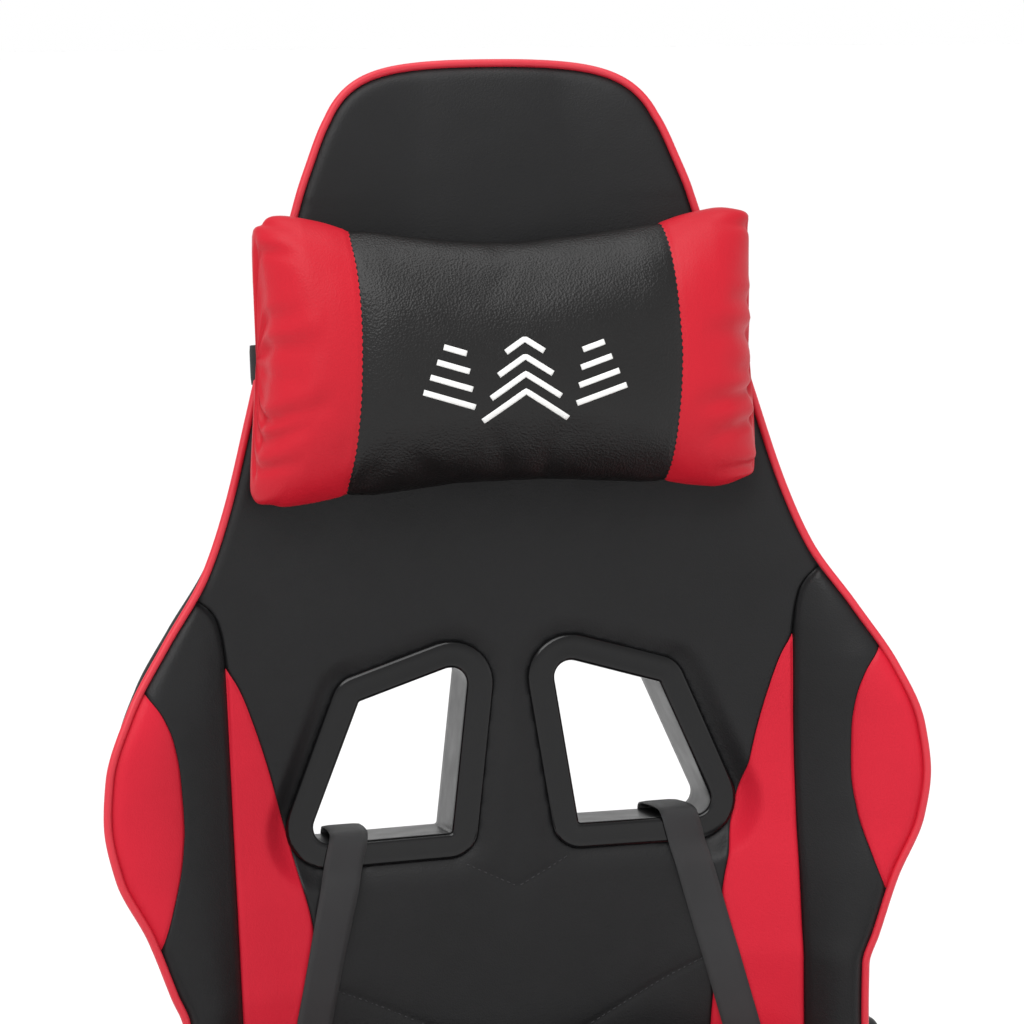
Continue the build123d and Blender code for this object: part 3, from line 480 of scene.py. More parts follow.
def stitches(name, path, normals, length, gap, radius):
    """Short raised threads along a path in metres."""
    step = length + gap
    dist = np.concatenate([[0], np.cumsum(np.linalg.norm(np.diff(path, axis=0), axis=1))])
    verts, faces = [], []
    rings, sides, lift = 5, 6, 0.0001

    def at(s, values):
        return np.array([np.interp(s, dist, values[:, i]) for i in range(3)])

    for k in range(int(dist[-1] / step)):
        base = len(verts)
        for r in range(rings):
            q = r / (rings - 1)
            s = k * step + q * length
            p, n = at(s, path), at(s, normals)
            n /= np.linalg.norm(n)
            t = at(s + 1e-4, path) - p
            if np.linalg.norm(t) < 1e-9:
                t = path[-1] - path[-2]
            t /= np.linalg.norm(t)
            b = np.cross(t, n)
            size = radius * (0.35 + 0.65 * math.sin(math.pi * (0.12 + 0.76 * q)))
            c = p + n * (lift + radius * 0.9 * math.sin(math.pi * q) - radius * 0.3)
            for j in range(sides):
                a = 2 * math.pi * j / sides
                verts.append(c + size * (math.cos(a) * b + math.sin(a) * n))
        for r in range(rings - 1):
            for j in range(sides):
                a, c = base + r * sides + j, base + r * sides + (j + 1) % sides
                faces.append((a, c, c + sides, a + sides))
        faces.append(tuple(base + j for j in range(sides))[::-1])
        faces.append(tuple(base + (rings - 1) * sides + j for j in range(sides)))
    return mesh_object(name, verts, faces)


def lathe(name, profile, axis_point, axis, sides=48):
    """Turns (radius, along) points in mm about an axis; axis_point in metres."""
    axis = Vector(axis).normalized()
    side = axis.orthogonal().normalized()
    other = axis.cross(side)
    verts = []
    for k in range(sides):
        a = 2 * math.pi * k / sides
        d = side * math.cos(a) + other * math.sin(a)
        for r, h in profile:
            verts.append(Vector(axis_point) + d * (r * MM) + axis * (h * MM))
    faces = grid_faces(sides, len(profile), closed_rows=True)
    return tidy_mesh(mesh_object(name, verts, faces))


# ------------------------------------------------------------------ materials
def new_material(name):
    material = bpy.data.materials.new(name)
    material.use_nodes = True
    tree = material.node_tree
    shader = tree.nodes["Principled BSDF"]
    return material, tree, shader


def linear(rgb):
    return [c / 12.92 / 255 if c <= 10 else ((c / 255 + 0.055) / 1.055) ** 2.4 for c in rgb]


def add(tree, kind, vector=None, **inputs):
    """A shader node with its Vector input linked and other inputs set, their spaces written as underscores."""
    node = tree.nodes.new("ShaderNode" + kind)
    for key, value in inputs.items():
        node.inputs[key.replace("_", " ")].default_value = value
    if vector:
        tree.links.new(vector, node.inputs["Vector"])
    return node


def add_ramp(tree, factor, *stops):
    """The colour output of a ramp between two (position, colour) stops."""
    ramp = tree.nodes.new("ShaderNodeValToRGB")
    for element, (position, colour) in zip(ramp.color_ramp.elements, stops):
        element.position, element.color = position, list(colour) + [1]
    tree.links.new(factor, ramp.inputs["Fac"])
    return ramp.outputs["Color"]


def surface_material(name, rgb, roughness, layers, vary=0.12, metallic=0.0, coat=0.0, specular=0.5,
                     rough_vary=0.08, sheen=0.0):
    """Base colour with a soft mottle, varied roughness and a bump built from layers of
    (kind, scale per metre, height in mm)."""
    material, tree, shader = new_material(name)
    link = tree.links.new
    place = tree.nodes.new("ShaderNodeTexCoord").outputs["Object"]
    for key, value in (("Metallic", metallic), ("Specular IOR Level", specular), ("Coat Weight", coat),
                       ("Coat Roughness", 0.3), ("Sheen Weight", sheen), ("Sheen Roughness", 0.5)):
        shader.inputs[key].default_value = value
    base = linear(rgb)
    mottle = add(tree, "TexNoise", place, Scale=9, Detail=5)
    colour = add_ramp(tree, mottle.outputs["Fac"], (0.3, [c * (1 - vary) for c in base]),
                      (0.7, [min(c * (1 + vary), 1) for c in base]))
    link(colour, shader.inputs["Base Color"])
    fine = add(tree, "TexNoise", place, Scale=60, Detail=4)
    rough = add(tree, "MapRange", To_Min=roughness - rough_vary, To_Max=roughness + rough_vary)
    link(fine.outputs["Fac"], rough.inputs["Value"])
    link(rough.outputs["Result"], shader.inputs["Roughness"])

    normal = None
    for kind, scale, height in layers:
        output, vector = "Fac", place
        if kind == "cells":
            texture = tree.nodes.new("ShaderNodeTexVoronoi")
            texture.feature = "SMOOTH_F1"
            texture.inputs["Smoothness"].default_value = 0.6
            output = "Distance"
        elif kind == "weave":
            texture = add(tree, "TexWave", Distortion=0.4)
            texture.bands_direction = "DIAGONAL"
        elif kind == "brushed":
            vector = add(tree, "Mapping", place, Scale=(1, 1, 14)).outputs["Vector"]
            texture = add(tree, "TexNoise", Detail=3)
        else:
            texture = add(tree, "TexNoise", Detail=4, Roughness=0.6)
        texture.inputs["Scale"].default_value = scale
        link(vector, texture.inputs["Vector"])
        bump = add(tree, "Bump", Strength=1.0, Distance=height * MM)
        link(texture.outputs[output], bump.inputs["Height"])
        if normal:
            link(normal, bump.inputs["Normal"])
        normal = bump.outputs["Normal"]
    link(normal, shader.inputs["Normal"])
    return material


FINE_GRAIN = [("cells", 900, 0.10), ("noise", 420, 0.12)]
PEBBLE = [("cells", 760, 0.24), ("noise", 420, 0.12)]
LEATHER = surface_material("leather_black", (25, 25, 26), 0.46, FINE_GRAIN, vary=0.12, specular=0.26)
# painted shade: the pillows' pebbled black leather is a darker copy of the backrest's, darkening them towards their
# shaded lower half
LEATHER_PILLOW_PAINTED_SHADE = surface_material("leather_black_pebbled_painted_shade", (13, 12, 12), 0.38, PEBBLE, vary=0.16, specular=0.36)
LEATHER_RED = surface_material("leather_red", (200, 32, 51), 0.46, FINE_GRAIN, vary=0.05, specular=0.16)
LEATHER_RED_PILLOW = surface_material("leather_red_pillow", (190, 26, 42), 0.44, FINE_GRAIN, vary=0.05, specular=0.2)
PIPING_RED = surface_material("piping_red", (206, 36, 54), 0.45, [("noise", 700, 0.12)], vary=0.05)
PIPING_BLACK = surface_material("piping_black", (30, 30, 31), 0.45, [("noise", 700, 0.12)])
# painted highlight: the dark quilting thread is coloured grey so that the light on its rims shows
THREAD_PAINTED_HIGHLIGHT = surface_material("thread_painted_highlight", (56, 56, 58), 0.6, [("weave", 2600, 0.08)])
THREAD_BLACK = surface_material("thread_black", (16, 16, 17), 0.7, [("weave", 2600, 0.08)])
WEBBING = surface_material("webbing_black", (54, 54, 55), 0.62, [("weave", 900, 0.16), ("noise", 500, 0.1)],
                           vary=0.14, sheen=0.05, specular=0.3)
ELASTIC = surface_material("elastic_black", (30, 30, 31), 0.75, [("weave", 800, 0.2)], vary=0.14)
# painted reflection: a lighter, rougher copy of the gloss black plastic for the bezels' inner walls, standing in for
# the grey reflection in them
BEZEL_WALL_PAINTED_REFLECTION = surface_material("plastic_wall_painted_reflection", (22, 22, 23), 0.36, [("noise", 300, 0.04)], vary=0.1, specular=0.18)
EMBLEM = surface_material("emblem_white", (238, 238, 236), 0.5, [("noise", 900, 0.06)], vary=0.02)
GLOSS = surface_material("plastic_gloss_black", (14, 14, 15), 0.17, [("noise", 70, 0.02)], vary=0.08, specular=0.34,
                         rough_vary=0.04)
NYLON = surface_material("nylon_black", (27, 27, 28), 0.5, [("noise", 1500, 0.08), ("cells", 700, 0.05)], vary=0.1)
PLASTIC = surface_material("plastic_satin_black", (30, 30, 31), 0.42, [("noise", 1200, 0.06)], vary=0.08)
PAD_SKIN = surface_material("pad_skin", (29, 29, 30), 0.55, [("cells", 800, 0.12), ("noise", 350, 0.1)], vary=0.1)
WHEEL = surface_material("wheel_tread", (34, 34, 36), 0.35, [("noise", 600, 0.05)], vary=0.12)
WHEEL_RED = surface_material("wheel_red", (198, 32, 44), 0.3, [("noise", 500, 0.04)], vary=0.05, coat=0.3)
PAINTED = surface_material("powder_coat", (26, 26, 27), 0.45, [("cells", 1400, 0.06), ("noise", 900, 0.05)], vary=0.08)
STEEL = surface_material("steel_ground", (176, 176, 178), 0.3, [("brushed", 600, 0.02)], vary=0.08, metallic=1.0)
ACETAL = surface_material("acetal_white", (222, 221, 214), 0.4, [("noise", 500, 0.04)], vary=0.03)


def plywood_material():
    material, tree, shader = new_material("plywood")
    link = tree.links.new
    place = tree.nodes.new("ShaderNodeTexCoord").outputs["Object"]
    stretched = add(tree, "Mapping", place, Scale=(1, 14, 14)).outputs["Vector"]
    grain = add(tree, "TexNoise", stretched, Scale=9, Detail=8, Distortion=0.6).outputs["Fac"]
    colour = add_ramp(tree, grain, (0, linear((150, 112, 70))), (1, linear((206, 170, 120))))
    plies = add(tree, "TexWave", place, Scale=130)
    plies.bands_direction = "Z"
    mix = tree.nodes.new("ShaderNodeMix")
    mix.data_type, mix.blend_type = "RGBA", "MULTIPLY"
    mix.inputs["Factor"].default_value = 0.25
    bump = add(tree, "Bump", Distance=0.0002)
    link(colour, mix.inputs[6])
    link(plies.outputs["Color"], mix.inputs[7])
    link(mix.outputs[2], shader.inputs["Base Color"])
    link(grain, bump.inputs["Height"])
    link(bump.outputs["Normal"], shader.inputs["Normal"])
    shader.inputs["Roughness"].default_value = 0.65
    return material


PLYWOOD = plywood_material()


# ------------------------------------------------------------------ backrest
def coons_head(nx, nv):
    """Grid over the head of the backrest, from HEAD_V to the arched top, as half-width columns."""
    s = np.linspace(-1, 1, nx)
    r = eased(nv)
    top = head_top(200)
    side_v = HEAD_V + (CORNER_V - HEAD_V) * r
    side = np.stack([half_width(side_v), side_v], -1)
    t = np.abs(s)
    bottom = np.stack([half_width(HEAD_V) * t, np.full(nx, HEAD_V)], -1)
    top_points = np.stack([np.interp(t, np.linspace(0, 1, 200), top[:, 0]),
                           np.interp(t, np.linspace(0, 1, 200), top[:, 1])], -1)
    middle = np.stack([np.zeros(nv), HEAD_V + (TOP_V - HEAD_V) * r], -1)
    grid = np.zeros((nv, nx, 2))
    for i in range(nv):
        for j in range(nx):
            q, p = r[i], t[j]
            ruled = (1 - q) * bottom[j] + q * top_points[j]
            other = (1 - p) * middle[i] + p * side[i]
            corners = ((1 - q) * (1 - p) * np.array([0, HEAD_V]) + (1 - q) * p * bottom[0]
                       + q * (1 - p) * top[0] + q * p * top[-1])
            grid[i, j] = ruled + other - corners
    x = grid[..., 0] * np.where(s < 0, -1, 1)
    return x, grid[..., 1]


def back_surfaces():
    """The front of the backrest: centre panel, red inserts, wings and their red patches."""
    def wing_patch_edge(v):
        patch = np.minimum(wing_patch_x(np.clip(v, *WING_RED)), half_width(v))
        return np.where((v > WING_RED[0]) & (v < WING_RED[1]), patch, half_width(v))

    nx = 121
    s = np.linspace(-1, 1, nx)
    s = np.sign(s) * (0.75 * np.abs(s) + 0.25 * np.sin(np.abs(s) * math.pi / 2))
    s[0], s[-1] = -1, 1
    v = np.concatenate([np.linspace(BOTTOM_V, SEAM_TOP, 175), np.linspace(SEAM_TOP, HEAD_V, 66)[1:]])
    low_edge = np.where(v < INSERT_TOP, patch_x(np.minimum(v, INSERT_TOP)), seam_x(np.clip(v, INSERT_TOP, SEAM_TOP)))
    fade = clamp((v - SEAM_TOP) / 8)
    edge = np.where(v >= SEAM_TOP, 206 + (half_width(v) - 206) * fade, low_edge)
    head_x, head_v = coons_head(nx, 52)
    x = np.concatenate([edge[:, None] * s, head_x[1:]])
    v = np.concatenate([np.repeat(v[:, None], nx, 1), head_v[1:]])
    centre = skin("back_centre_leather", x, v, 2.5, 7.5)
    finish_piece(centre, "back", LEATHER, ["back_cushion"])

    for name, left, right, v0, v1, nv, cols, material, slot in (
            ("back_red_insert", patch_x, seam_x, BOTTOM_V, 405.4, 150, 22, LEATHER_RED, "cover_red_black"),
            ("back_wing_leather", seam_x, wing_patch_edge, BOTTOM_V, SEAM_TOP, 170, 22, LEATHER, "cover_black"),
            ("back_wing_red", wing_patch_x, half_width, 233.4, 398.6, 66, 18, LEATHER_RED, "cover_red_black")):
        for side, sign in SIDES:
            piece = panel(f"{name}_{side}", lambda q: sign * left(q), lambda q: sign * right(q), v0, v1, nv, cols)
            finish_piece(piece, "back", material, [f"back_wing_{side}"] if material is LEATHER else ())


def back_edges():
    """Piping round the front and the rear, and the band between them."""
    ring = OUTLINE
    depth = dish(ring[:, 0], ring[:, 1]) - 3.0
    path = to_world(ring[:, 0], ring[:, 1], depth + 0.9)
    piping = tube("back_piping", path, 0.0026, closed=True, sides=14)
    finish_piece(piping, "back", PIPING_RED)
    tangent = np.roll(ring, -1, 0) - np.roll(ring, 1, 0)
    outward = np.stack([tangent[:, 1], -tangent[:, 0]], -1)
    outward /= np.linalg.norm(outward, axis=1)[:, None]
    cols = 14
    verts = []
    for k in range(cols):
        q = k / (cols - 1)
        bulge = 1.6 * math.sin(math.pi * min(max(q, 0.02), 0.98)) ** 0.7 - 0.8 - TAPER * q
        p = ring + outward * bulge
        w = depth - 1.0 + (REAR_W + 2 - depth + 1.0) * q
        verts.append(to_world(p[:, 0], p[:, 1], w))
    verts = np.stack(verts, 1).reshape(-1, 3)
    band = mesh_object("back_side_band", verts, grid_faces(len(ring), cols, closed_rows=True))
    thicken(tidy_mesh(band), 0.002)
    finish_piece(band, "back", LEATHER)
    rear_ring = ring - outward * (TAPER + 0.3)
    rear_path = to_world(rear_ring[:, 0], rear_ring[:, 1], REAR_W + 1.5)
    rear_piping = tube("back_rear_piping", rear_path, 0.0024, closed=True, sides=10)
    finish_piece(rear_piping, "back", PIPING_BLACK)


def rear_surface(x, v):
    """Rear face of the upholstery, with its seams and the rise round the openings."""
    x, v = np.broadcast_arrays(np.asarray(x, float), np.asarray(v, float))
    ax = np.abs(x)
    edge = np.clip(distance_to_line(ax, v, OUTLINE_HALF) - TAPER, 0, None)
    w = REAR_W - 4.0 * (1 - np.exp(-edge / 20)) + 2.0 * hump(edge, 4)
    hole = hole_distance(x, v) - 15.5
    w = w + 3.0 * np.exp(-np.clip(hole, 0, None) / 10)
    w = w + 1.4 * hump(v - 455, 1.8)
    return w + np.where(v < SEAM_TOP, 1.2 * hump(ax - 170, 1.8), 0)


def back_rear():
    nx = 91
    v = np.linspace(BOTTOM_V, HEAD_V, 170)
    head_x, head_v = coons_head(nx, 40)
    x = np.concatenate([half_width(v)[:, None] * np.linspace(-1, 1, nx), head_x[1:]])
    v = np.concatenate([np.repeat(v[:, None], nx, 1), head_v[1:]])
    x = x * (half_width(v) - TAPER + 0.5) / half_width(v)
    v = BOTTOM_V + TAPER + (v - BOTTOM_V) * (TOP_V - BOTTOM_V - 2 * TAPER) / (TOP_V - BOTTOM_V)
    rear = skin("back_rear_leather", x, v, 2.0, 12.0, rear_surface)
    finish_piece(rear, "back", LEATHER, ["back_panel"])


def surface_path(x, v):
    """Points and normals on the front upholstery along (x, v) in mm."""
    h = 1.5
    p = to_world(x, v, front(x, v))
    dx = to_world(x + h, v, front(x + h, v)) - to_world(x - h, v, front(x - h, v))
    dv = to_world(x, v + h, front(x, v + h)) - to_world(x, v - h, front(x, v - h))
    n = np.cross(dx, dv)
    n /= np.linalg.norm(n, axis=-1)[..., None]
    return p, -n if n[:, 1].mean() > 0 else n


def back_stitching():
    """Thread along the quilting; its grey colour is a painted highlight on dark thread."""
    threads = []
    for sign in (-1, 1):
        for v0, slope in QUILT:
            ax = np.linspace(1.5, 138, 70)
            v = v0 + slope * ax
            keep = ax < patch_x(np.clip(v, BOTTOM_V, 405)) - 2
            keep &= (hole_distance(ax, v) > 20) & (v > BOTTOM_V + 4)
            p, n = surface_path(sign * ax[keep], v[keep])
            threads.append(stitches("quilt", p, n, 0.0027, 0.0016, 0.00042))
    thread = join("back_stitching", threads)
    finish_piece(thread, "back", THREAD_PAINTED_HIGHLIGHT)


# ------------------------------------------------------------------ pillows
PUCKERS = [(0.97, -0.25, 34, 3.0), (0.86, -0.12, 30, 2.2), (0.66, 0.10, 26, 2.0), (0.53, 0.05, 44, 4.2),
           (0.44, -0.15, 30, 3.0), (0.34, 0.22, 52, 4.2), (0.23, 0.30, 40, 3.4), (0.13, 0.12, 34, 2.6),
           (0.03, 0.3, 26, 2.4)]  # height as a share, slope, length in mm, relative depth


def pillow(name, v_span, halves, shifts, sags, w_span, seam, waist, seed, replaces):
    """Stuffed pillow: closed sections along X, simulated, then seamed and gathered at its red ends.
    Pairs are (low, high) along v; seam is the half-distance between the seams at the edge
    and middle, waist how far the two ends draw in at mid height."""
    v_low, v_high = v_span
    w_back, w_front = w_span
    ring = 132
    seam_u = seam[0] / halves[0]
    half_s = np.concatenate([np.linspace(0, seam_u, 46), np.linspace(seam_u, 1, 36)[1:]])
    s = np.concatenate([-half_s[::-1], half_s[1:]])
    stations = len(s)
    a = np.abs(s)[:, None]
    theta = np.linspace(0, 2 * math.pi, ring, endpoint=False)[None, :]
    c, d = np.cos(theta), np.sin(theta)
    end = clamp(1 - np.clip(a - 0.80, 0, None) / 0.20)
    close = np.sqrt(clamp(1 - (1 - end) ** 2))
    arch = 1 - a * a
    top, low = v_high - sags[1] * arch, v_low + sags[0] * arch
    mid_w = (w_back + w_front) / 2
    depth = (w_front - w_back) / 2 * (1 - 0.15 * a ** 3)
    vv = (top + low) / 2 + (top - low) / 2 * (0.79 + 0.21 * close) * np.sign(d) * np.abs(d) ** 0.74
    power = np.where(c > 0, 0.95, 0.5)
    ww = mid_w + depth * (0.22 + 0.78 * close) * np.sign(c) * np.abs(c) ** power
    q = clamp((vv - v_low) / (v_high - v_low))
    sides = np.where(s < 0, *waist)[:, None]
    half = halves[0] + (halves[1] - halves[0]) * q - sides * (1 - (2 * q - 1) ** 2)
    shift = shifts[0] + (shifts[1] - shifts[0]) * q
    bow = (seam[1] - seam[0]) * (1 - np.abs(d)) * hump(a - seam_u, 0.2) * (c > 0)
    xx = s[:, None] * half + shift + np.where(s < 0, -0.1, 1.0)[:, None] * bow
    world = to_world(xx, vv, ww)
    faces = grid_faces(stations, ring, closed_cols=True)
    n = stations * ring
    caps = [world[0].mean(0), world[-1].mean(0)]
    for k in range(ring):
        faces.append((n, (k + 1) % ring, k))
        faces.append((n + 1, (stations - 1) * ring + k, (stations - 1) * ring + (k + 1) % ring))
    obj = mesh_object(name, np.concatenate([world.reshape(-1, 3), caps]), faces)
    index = [0 if abs(s[i] + s[i + 1]) / 2 < seam_u else 1 for i in range(stations - 1) for _ in range(ring)]
    # the black centre takes the darkened pebbled leather: painted shade
    obj.data.materials.append(LEATHER_PILLOW_PAINTED_SHADE)
    obj.data.materials.append(LEATHER_RED_PILLOW)
    obj.data.polygons.foreach_set("material_index", index + [1] * (2 * ring))
    with editing(obj) as bm:
        bmesh.ops.recalc_face_normals(bm, faces=bm.faces)
    inflate(obj, pressure=3.0, cap=0.005, frames=16, stiff=12)

    points, normals = read_vertices(obj.data), read_vertices(obj.data, "vector")
    away = (a - seam_u) * halves[0]
    move = -1.3 * hump(away, 1.8) - 1.6 * hump(away, 11)
    inward = (1 - a) * halves[0]
    height = v_high - v_low
    for place, slope, length, deep in PUCKERS:
        for sign in (-1, 1):
            at = place + 0.035 * math.sin(7.0 * place * seed + 2.0 * sign)
            line = v_low + height * at + slope * inward * (1 if sign < 0 else -0.8)
            wide = 2.6 + 0.08 * inward
            fade = clamp(1 - inward / (length * (1.1 if sign > 0 else 0.9))) ** 0.8
            fade = fade * (np.sign(s)[:, None] == sign)
            gap = (vv - line) / wide
            fold = np.exp(-gap ** 2) - 0.45 * hump(gap - 2.2, 1.4)
            move = move - fade * 1.35 * deep * fold * (c > -0.25)
    wave = ripple(points, 0.055, seed) * 0.9 + ripple(points, 0.018, seed + 1) * 0.2
    move = np.concatenate([move.reshape(-1), [0, 0]]) + wave
    points += normals * move[:, None] * MM
    write_vertices(obj, points)
    grid, grid_normals = points[:-2].reshape(stations, ring, 3), normals[:-2].reshape(stations, ring, 3)
    subdivide(obj)
    finish_piece(obj, "back", replaces=replaces)
    order = np.argsort(vv[0] + 1000 * (c[0] < 0.02))
    order = order[: int((c[0] >= 0.02).sum())]
    threads = []
    for sign in (-1, 1):
        column = int(np.argmin(np.abs(s - sign * (seam_u + 0.3 / halves[0]))))
        threads.append(stitches("pillow_thread", grid[column, order], grid_normals[column, order],
                                0.0026, 0.0018, 0.0005))
    finish_piece(join(f"{name}_stitching", threads), "back", THREAD_BLACK)
    return obj


def inflate(obj, pressure, cap, frames, stiff=15):
    """Swells a closed mesh by cloth pressure, moving no point further than cap metres."""
    scene = bpy.context.scene
    before = read_vertices(obj.data)
    cloth = obj.modifiers.new("cloth", "CLOTH")
    settings = cloth.settings
    settings.quality = 5
    settings.mass = 0.3
    settings.tension_stiffness = settings.compression_stiffness = stiff
    settings.shear_stiffness = stiff / 2
    settings.bending_stiffness = 0.6
    settings.use_pressure = True
    settings.uniform_pressure_force = pressure
    settings.effector_weights.gravity = 0
    settings.shrink_min = -0.02
    cloth.collision_settings.use_collision = False
    cloth.point_cache.frame_start, cloth.point_cache.frame_end = 1, frames
    for f in range(1, frames + 1):
        scene.frame_set(f)
    depsgraph = bpy.context.evaluated_depsgraph_get()
    mesh = bpy.data.meshes.new_from_object(obj.evaluated_get(depsgraph), depsgraph=depsgraph)
    move = read_vertices(mesh) - before
    bpy.data.meshes.remove(mesh)
    obj.modifiers.remove(cloth)
    scene.frame_set(1)
    edges = np.zeros(len(obj.data.edges) * 2, int)
    obj.data.edges.foreach_get("vertices", edges)
    edges = edges.reshape(-1, 2)
    near = np.bincount(edges.reshape(-1), minlength=len(move))[:, None]
    for _ in range(10):
        total = np.zeros_like(move)
        np.add.at(total, edges[:, 0], move[edges[:, 1]])
        np.add.at(total, edges[:, 1], move[edges[:, 0]])
        move = 0.4 * move + 0.6 * total / near
    size = np.linalg.norm(move, axis=1)
    move *= (cap * np.tanh(size / cap) / np.maximum(size, 1e-9))[:, None]
    write_vertices(obj, before + move)


def emblem(pillow_obj):
    """A generic mark: four stacked chevrons between slanting bars, laid on the pillow's face."""
    centre_v = 590.0
    strokes = []
    for k in range(4):
        rise, half = 17.0, 27.0 - 5.0 * k
        base = centre_v - 31 + 14.0 * k
        strokes.append([(-half, base), (0, base + rise * half / 26), (half, base)])
    for side in (-1, 1):
        for k, length in enumerate((32, 26, 20, 14)):
            v = centre_v - 22 + 11.0 * k
            start = 32.0 + 1.5 * k
            strokes.append([(side * start, v), (side * (start + length), v + 0.32 * length)])
    parts = []
    for line in strokes:
        path = resample(np.array(line, float), 1.6, smooth=0)
        points, normals = [], []
        for x, v in path:
            start = Vector(to_world(x, v, 220.0))
            hit, at, normal, _ = pillow_obj.ray_cast(start, Vector((0, COS, -SIN)))
            if hit:
                at, normal = np.array(at), np.array(normal)
                points.append(at + normal * 0.00035)
                normals.append(normal)
        points, normals = np.array(points), np.array(normals)
        tangent = np.gradient(points, axis=0)
        across = np.cross(normals, tangent)
        parts.append(ribbon("stroke", points, across, 0.0036, 0.0009, cols=5))
    mark = join("headrest_emblem", parts)
    finish_piece(mark, "back", EMBLEM)


# ------------------------------------------------------------------ webbing
def headrest_band():
    """The head pillow's elastic, from behind its ends round the rear of the backrest."""
    v = 597.5
    e = float(half_width(v))
    depth = float(dish(e, v))
    inner = np.linspace(120, e - 6, 14)
    points = [(x, float(front(x, v)) + 1.6) for x in inner]
    points += [(e - 1, depth + 2.6), (e + 4.6, depth + 1.4), (e + 6.2, depth - 5), (e + 2.4, -20), (e - 3, REAR_W + 2),
               (e - 8, REAR_W - 3.0), (e - 16, REAR_W - 5.6), (e - 45, REAR_W - 6.0), (0, REAR_W - 6.2)]
    half = np.array(points)
    line = resample(np.concatenate([half, half[::-1][1:] * [-1, 1]]), 2.5, smooth=3)
    path = to_world(line[:, 0], v, line[:, 1])
    across = np.repeat(to_world(0, 1, 0)[None] - to_world(0, 0, 0)[None], len(path), 0)
    band = ribbon("headrest_elastic", path, across, 0.025, 0.0016)
    finish_piece(band, "back", ELASTIC, ["headrest_band"])


def lumbar_straps():
    """Webbing from behind the lumbar pillow up over the front, through an opening and down the rear."""
    top_x, low_x, low_v = 112.0, 158.0, 98.0
    lean = 0.34                 # how far the webbing turns to lie on the dished front
    for name, sign in SIDES:
        points = []
        for v in np.linspace(low_v, 262, 24):
            x = low_x + (top_x - low_x) * (v - low_v) / (286 - low_v)
            lift = max(float(front(x + q, v)) - lean * q for q in (-11, 0, 11))
            points.append((x, v, lift + 1.6))
        x = points[-1][0]
        points[-1] = (x, 262, 7.6)
        points += [(x - 2.2, 272, 7.8), (x - 4.6, 281, 8.2), (112.2, 285.6, 7.0), (112, 286.6, 2), (112, 284.4, -20),
                   (112.4, 279.6, -50), (112.6, 276.5, -60), (113, 268, -62.6), (113, 255, -62.0), (113, 240, -60.2),
                   (113, 100, -59.2), (113, 0, -59.0), (113, -12, -58), (113, -19, -50), (113, -20.5, -30),
                   (113, -20.5, -4), (113, -18, 8), (114, -6, 13), (116, 12, 15)]
        line = resample(np.array(points, float), 3.0, smooth=3)
        path = to_world(sign * line[:, 0], line[:, 1], line[:, 2])
        tilt = np.where((line[:, 2] > 2) & (line[:, 1] < 262), lean * clamp((262 - line[:, 1]) / 60), 0)
        across = np.stack([np.full(len(tilt), sign * 1.0), -tilt * COS, tilt * SIN], -1)
        strap = ribbon(f"lumbar_strap_{name}", path, across, 0.025, 0.0018)
        finish_piece(strap, "back", WEBBING, ["lumbar_straps"])


# ------------------------------------------------------------------ harness bezels
def ring_solid(name, side, profile):
    """A closed moulding around a harness opening; profile holds (grow, w, drop of the lower edge)."""
    rings = [hole_ring(side, grow, drop) for grow, _, drop in profile]
    verts = np.stack([to_world(r[:, 0], r[:, 1], w) for r, (_, w, _) in zip(rings, profile)], 1)
    faces = grid_faces(verts.shape[0], verts.shape[1], closed_rows=True, closed_cols=True)
    obj = mesh_object(name, verts.reshape(-1, 3), faces)
    return tidy_mesh(obj, merge=1e-7)


def harness_bezels():
    """Gloss mouldings whose lower wall slopes down to the rear; their inner wall takes a lighter, rougher copy of the
    plastic, a painted reflection.
    """
    for name, side in SIDES:
        profile = [(0, -59, 8.6), (0, -52, 7.8), (0, -25, 4.2), (0, 0, 0.8), (0, 3.6, 0.2), (0.5, 5.2, 0),
                   (1.8, 6.2, 0),
                   (3.2, 6.4, 0), (5, 6.1, 0), (12, 5.9, 0), (15.6, 5.8, 0), (17.4, 5.2, 0), (18.3, 3.8, 0),
                   (BEZEL_GROW, 2.2, 0), (BEZEL_GROW, 0.2, 0), (12, 0.1, 0), (4.0, 0.1, 0),
                   (2.6, -1, 0.4), (2.6, -58, 8.6)]
        bezel = ring_solid(f"harness_bezel_moulding_{name}", side, profile)
        finish_piece(bezel, "back", GLOSS, [f"harness_bezel_{name}"])
        # the inner walls get the lighter copy of the plastic: painted reflection
        bezel.data.materials.append(BEZEL_WALL_PAINTED_REFLECTION)
        for poly in bezel.data.polygons:
            depth = -(poly.center.y - PIVOT[1] * MM) * COS + (poly.center.z - PIVOT[2] * MM) * SIN
            poly.material_index = 1 if depth < 0.0036 else 0
        profile = [(2.9, -53.2, 7.8), (2.9, -57.5, 8.4), (3.6, -58.8, 8.6), (6, -59.2, 8), (13, -58.8, 2),
                   (15, -57.6, 0),
                   (15.5, -56, 0), (15.5, -53.2, 0)]
        ring = ring_solid(f"harness_rear_moulding_{name}", side, profile)
        finish_piece(ring, "back", GLOSS, ["harness_rear_rings"])


# ------------------------------------------------------------------ seat
BOLSTER_IN = 0.185              # inner side of the bolsters
SEAM_X = 0.2325                 # the piped seam on top of the bolsters


